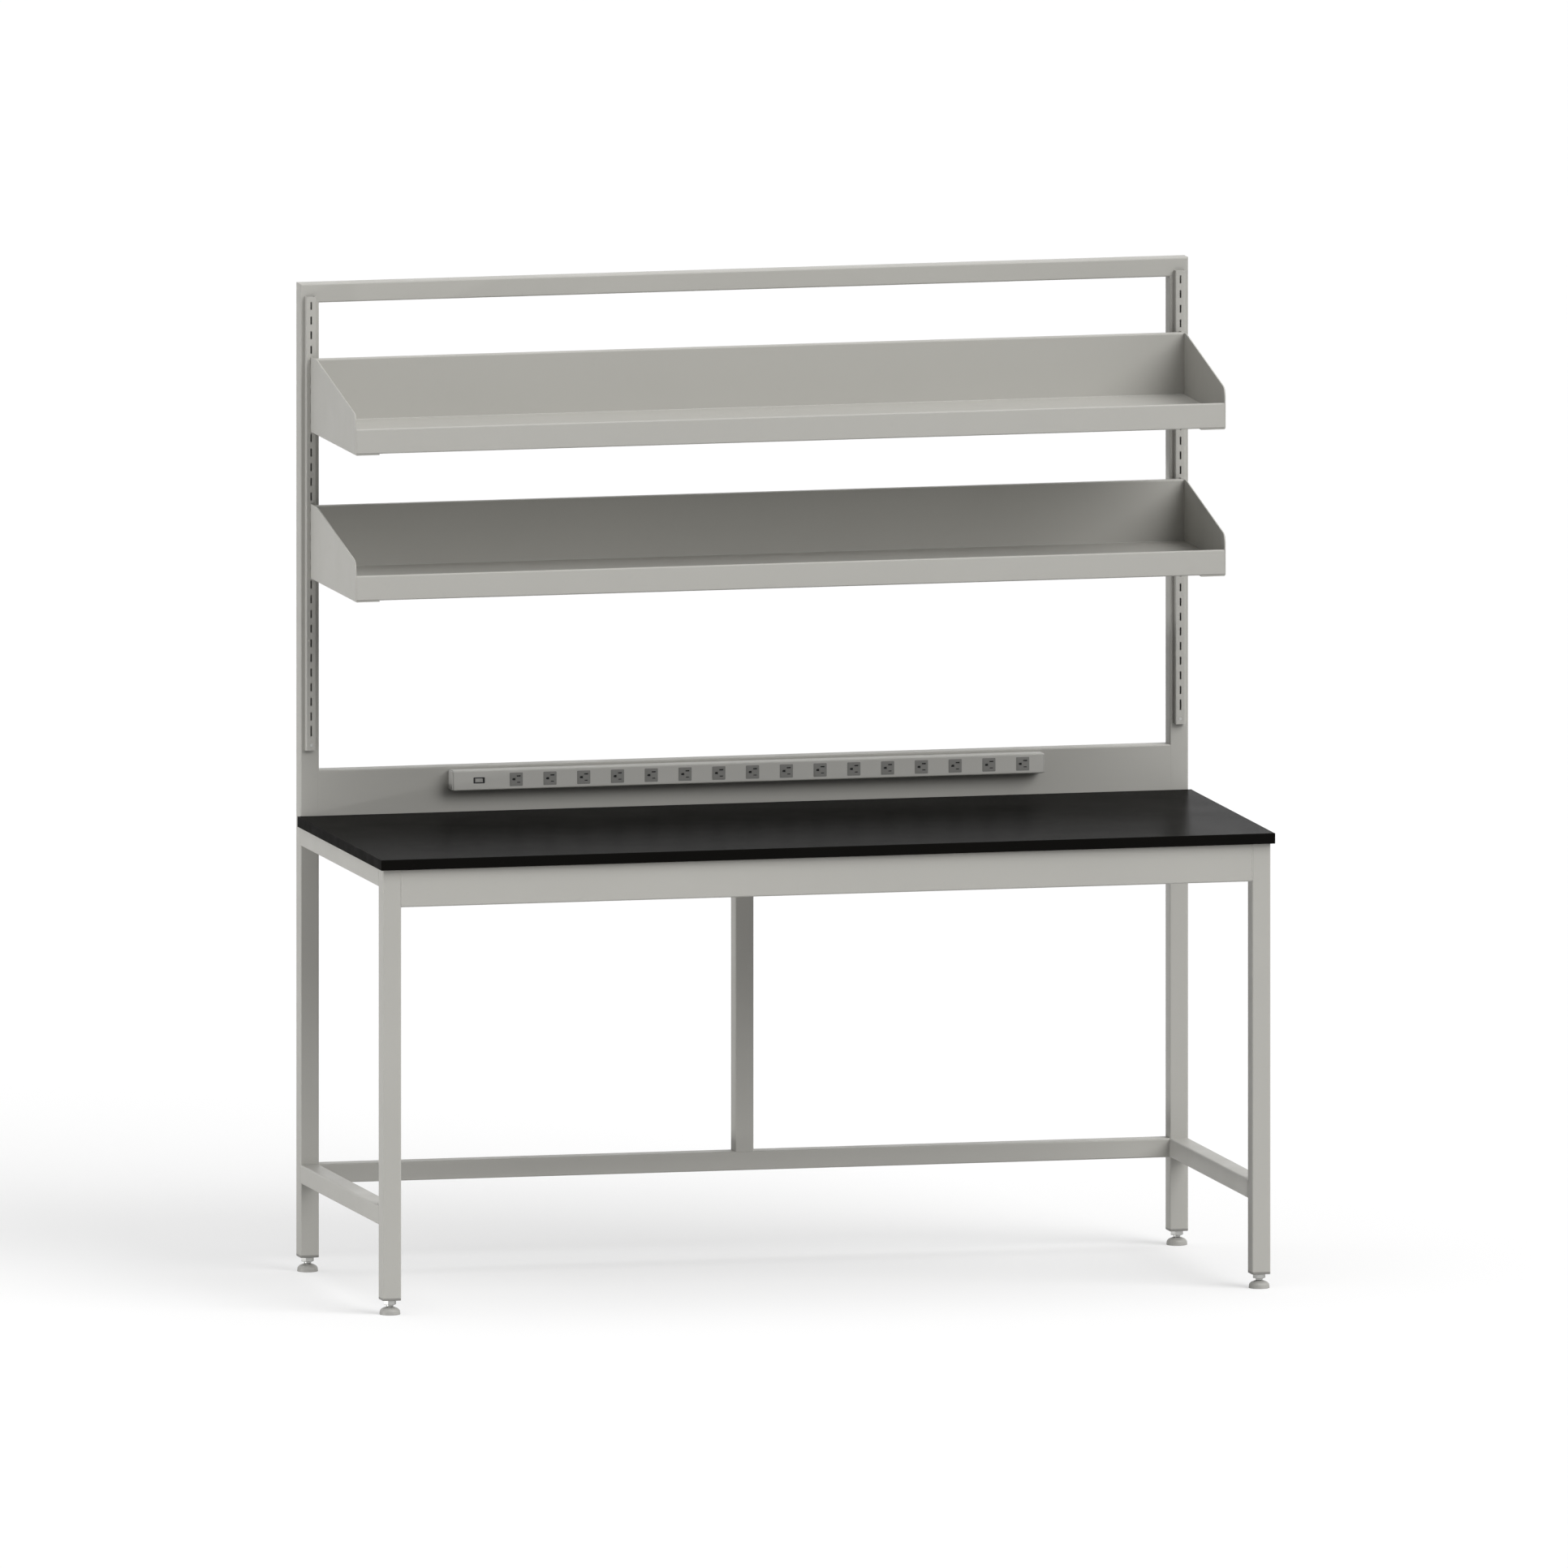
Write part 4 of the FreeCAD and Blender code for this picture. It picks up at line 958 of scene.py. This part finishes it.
def outlet(mesh, x):
    # face with a raised plate, two blade slots and a ground hole, a quarter turned
    look = outletLook
    z = stripMiddle
    front = stripLow.y - look["proud"]
    openings = []
    for side, length, width in look["blades"]:
        bladeZ = z + side * look["spacing"] / 2
        openings.append(centred(x + look["bladeInset"], bladeZ, length, width, look["bladeCorner"]))
    halfWidth, halfHeight = look["ground"][0] / 2, look["ground"][1] / 2
    left, right = x - look["groundInset"] - halfWidth, x - look["groundInset"] + halfWidth
    bow, corner = halfHeight * look["groundRound"], look["groundCorner"]
    openings.append([(left, z - halfHeight, bow), (right, z - halfHeight, corner),
                     (right, z + halfHeight, corner), (left, z + halfHeight, bow)])
    for size, low, high, arris in (
            (look["face"], front, stripLow.y, look["arris"]),
            (look["inner"], front - look["raised"], front + look["sunk"], look["plateArris"])):
        part = bmesh.new()
        addPlate(part, "y", low, high, centred(x, z, size, size, look["corner"]), openings, look["steps"])
        softenEdges(part, arris)
        joined(mesh, part)


def outletShadeBlock(mesh, x):
    # near-black block just behind the openings: painted shade standing in for the outlet's deep, unlit inside
    look = outletLook
    size = look["face"] - look["chamberInset"]
    near, far = look["chamber"]
    addPrism(mesh, "y", stripLow.y + near, stripLow.y + far, centred(x, stripMiddle, size, size))


stripHousing()
for sideName, side in sides:
    stripEnd(sideName, side)
mesh = bmesh.new()
inside = bmesh.new()
for x in outletPlaces:
    outlet(mesh, x)
    outletShadeBlock(inside, x)
finished("outlet_faces", mesh, "outlet_plastic", "bench", ["strip_outlets"])
# the blocks behind the openings take the near-black painted-shade finish
piece = finished("outlet_painted_shade", inside, "outlet_plastic", "bench")
piece.data.materials[0] = paintedShadeInside


def switchHousing():
    # bezel, the well's wall behind it, and a back that closes the well
    look = switchLook
    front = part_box("switch_housing")[0].y
    back = front + look["depth"]
    length, height = look["well"]
    bezel = centred(switchX, stripMiddle, *look["bezel"], look["bezelCorner"])
    mouth = centred(switchX, stripMiddle, length, height, look["wellCorner"])
    well = centred(switchX, stripMiddle, length, height)
    outer = centred(switchX, stripMiddle, length + 2 * look["wall"], height + 2 * look["wall"])
    lid = 2 * (look["wall"] - look["lap"])
    mesh = bmesh.new()
    addPlate(mesh, "y", front, stripLow.y, bezel, [mouth], look["steps"])
    softenEdges(mesh, look["arris"])
    addPlate(mesh, "y", stripLow.y - look["lap"], back, outer, [well])
    addPrism(mesh, "y", back - look["lap"], back + look["backSheet"],
             centred(switchX, stripMiddle, length + lid, height + lid))
    finished("moulded_switch", mesh, "switch_black", "bench", ["switch_housing"])


def rocker():
    # two shallow faces on a narrower foot, tilted about the axle
    look = rockerLook
    half = look["length"] / 2
    rightHalf = [
        (half, look["end"], look["endRound"]), (half - look["taper"], look["shoulder"], look["footRound"]),
        (look["footHalf"], look["foot"], look["footRound"]),
    ]
    leftHalf = [(-x, y, arris) for x, y, arris in rightHalf[::-1]]
    shape = [leftHalf[-1], (0, look["dip"], look["dipRound"]), *rightHalf, *leftHalf[:-1]]
    mesh = bmesh.new()
    addPrism(mesh, "z", -look["height"] / 2, look["height"] / 2, shape, look["steps"])
    softenEdges(mesh, look["arris"])
    pivot = next(joint for joint in frame["joints"] if joint["name"] == "rocker_tilt")["pos_m"]
    turn = Matrix.Translation(pivot) @ Matrix.Rotation(math.radians(-look["tilt"]), 4, "Z")
    bmesh.ops.transform(mesh, matrix=turn, verts=mesh.verts)
    finished("moulded_rocker", mesh, "rocker_plastic", "rocker", ["switch_rocker"])


switchHousing()
rocker()
print("power strip made:", len(outletPlaces), "outlets")

# wide faces keep their own shading up to the small rounds
for piece in pieces:
    even = piece.modifiers.new("even", "WEIGHTED_NORMAL")
    even.keep_sharp = True
print("pieces shaded:", len(pieces))


# scene

cameraLook = {
    "azimuth": -13.55, "elevation": 7.27, "width": 3.118, "target": (0, 0, 0.9938),
    "distance": 9.0, "clipEnd": 60,
}


def direction(look):
    # azimuth from the front towards the right, elevation up from level
    turn, lift = math.radians(look["azimuth"]), math.radians(look["elevation"])
    return Vector((math.sin(turn) * math.cos(lift), -math.cos(turn) * math.cos(lift), math.sin(lift)))


def aimed(thing, spot, way):
    thing.location = spot
    thing.rotation_mode = "QUATERNION"
    thing.rotation_quaternion = way.to_track_quat("-Z", "Y")


outward = direction(cameraLook)
lens = bpy.data.cameras.new("camera")
lens.type = "ORTHO"
lens.ortho_scale = cameraLook["width"]
lens.clip_end = cameraLook["clipEnd"]
camera = linked("camera", lens)
aimed(camera, Vector(cameraLook["target"]) + outward * cameraLook["distance"], -outward)
bpy.context.scene.camera = camera

# floor, light and backdrop: key from the front right, a broad top light, low fill from the left

stageLook = {
    "radius": 40.0, "segments": 96, "seen": 0.9, "bounce": 0.64, "glow": 0.48, "glowStrength": 1.04,
}
lightLook = {
    "key": {"azimuth": 38.0, "elevation": 36.0, "spread": 46.0, "strength": 2.4},
    "top": {"azimuth": 0.0, "elevation": 84.0, "spread": 70.0, "strength": 1.15},
    "sunDistance": 6.0,
    "fill": {
        "place": (-5.5, -0.345, 0.07), "aim": (0.0, -0.345, 0.9), "size": (0.1, 0.12), "power": 98.0,
    },
    "sky": 0.29,
    "mirrored": 1.3,      # the sky as glossy surfaces reflect it
    "backdrop": 1.0,
}


def raySwitch(tree, ray):
    # 1 for the rays of this kind, 0 for all others
    path = tree.nodes.new("ShaderNodeLightPath")
    return path.outputs["Is " + ray + " Ray"]


def diffuse(tree, tone):
    node = tree.nodes.new("ShaderNodeBsdfDiffuse")
    node.inputs["Color"].default_value = (tone, tone, tone, 1)
    return node


def mixed(tree, share, first, second):
    node = tree.nodes.new("ShaderNodeMixShader")
    if isinstance(share, float):
        node.inputs["Fac"].default_value = share
    else:
        tree.links.new(share, node.inputs["Fac"])
    tree.links.new(first.outputs[0], node.inputs[1])
    tree.links.new(second.outputs[0], node.inputs[2])
    return node


def floorMaterial():
    # pale floor: a soft shadow for the camera, a duller bounce for everything else
    look = stageLook
    material = bpy.data.materials.new("floor")
    material.use_nodes = True
    tree = material.node_tree
    tree.nodes.remove(tree.nodes["Principled BSDF"])
    glow = tree.nodes.new("ShaderNodeEmission")
    glow.inputs["Strength"].default_value = look["glowStrength"]
    seen = mixed(tree, look["glow"], diffuse(tree, look["seen"]), glow)
    surface = mixed(tree, raySwitch(tree, "Camera"), diffuse(tree, look["bounce"]), seen)
    tree.links.new(surface.outputs[0], tree.nodes["Material Output"].inputs["Surface"])
    return material


mesh = bmesh.new()
bmesh.ops.create_circle(mesh, cap_ends=True, radius=stageLook["radius"], segments=stageLook["segments"])
floorData = bpy.data.meshes.new("floor")
mesh.to_mesh(floorData)
mesh.free()
floorData.materials.append(floorMaterial())
floor = linked("floor", floorData)


def lamp(name, kind, spot, aim):
    data = bpy.data.lights.new(name, kind)
    holder = linked(name, data)
    aimed(holder, spot, Vector(aim) - Vector(spot))
    holder.visible_camera = False
    return data


for name in ("key", "top"):
    look = lightLook[name]
    sun = lamp(name, "SUN", direction(look) * lightLook["sunDistance"], (0, 0, 0))
    sun.energy = look["strength"]
    sun.angle = math.radians(look["spread"])
look = lightLook["fill"]
fill = lamp("fill", "AREA", look["place"], look["aim"])
fill.shape = "RECTANGLE"
fill.size, fill.size_y = look["size"]
fill.energy = look["power"]

world = bpy.data.worlds.new("studio")
bpy.context.scene.world = world
world.use_nodes = True
tree = world.node_tree
tree.nodes.remove(tree.nodes["Background"])


def white(strength):
    node = tree.nodes.new("ShaderNodeBackground")
    node.inputs["Color"].default_value = (1, 1, 1, 1)
    node.inputs["Strength"].default_value = strength
    return node


bounced = mixed(tree, raySwitch(tree, "Glossy"), white(lightLook["sky"]), white(lightLook["mirrored"]))
backdrop = mixed(tree, raySwitch(tree, "Camera"), bounced, white(lightLook["backdrop"]))
tree.links.new(backdrop.outputs[0], tree.nodes["World Output"].inputs["Surface"])
bpy.context.scene.view_settings.view_transform = "Standard"
print("stage made")
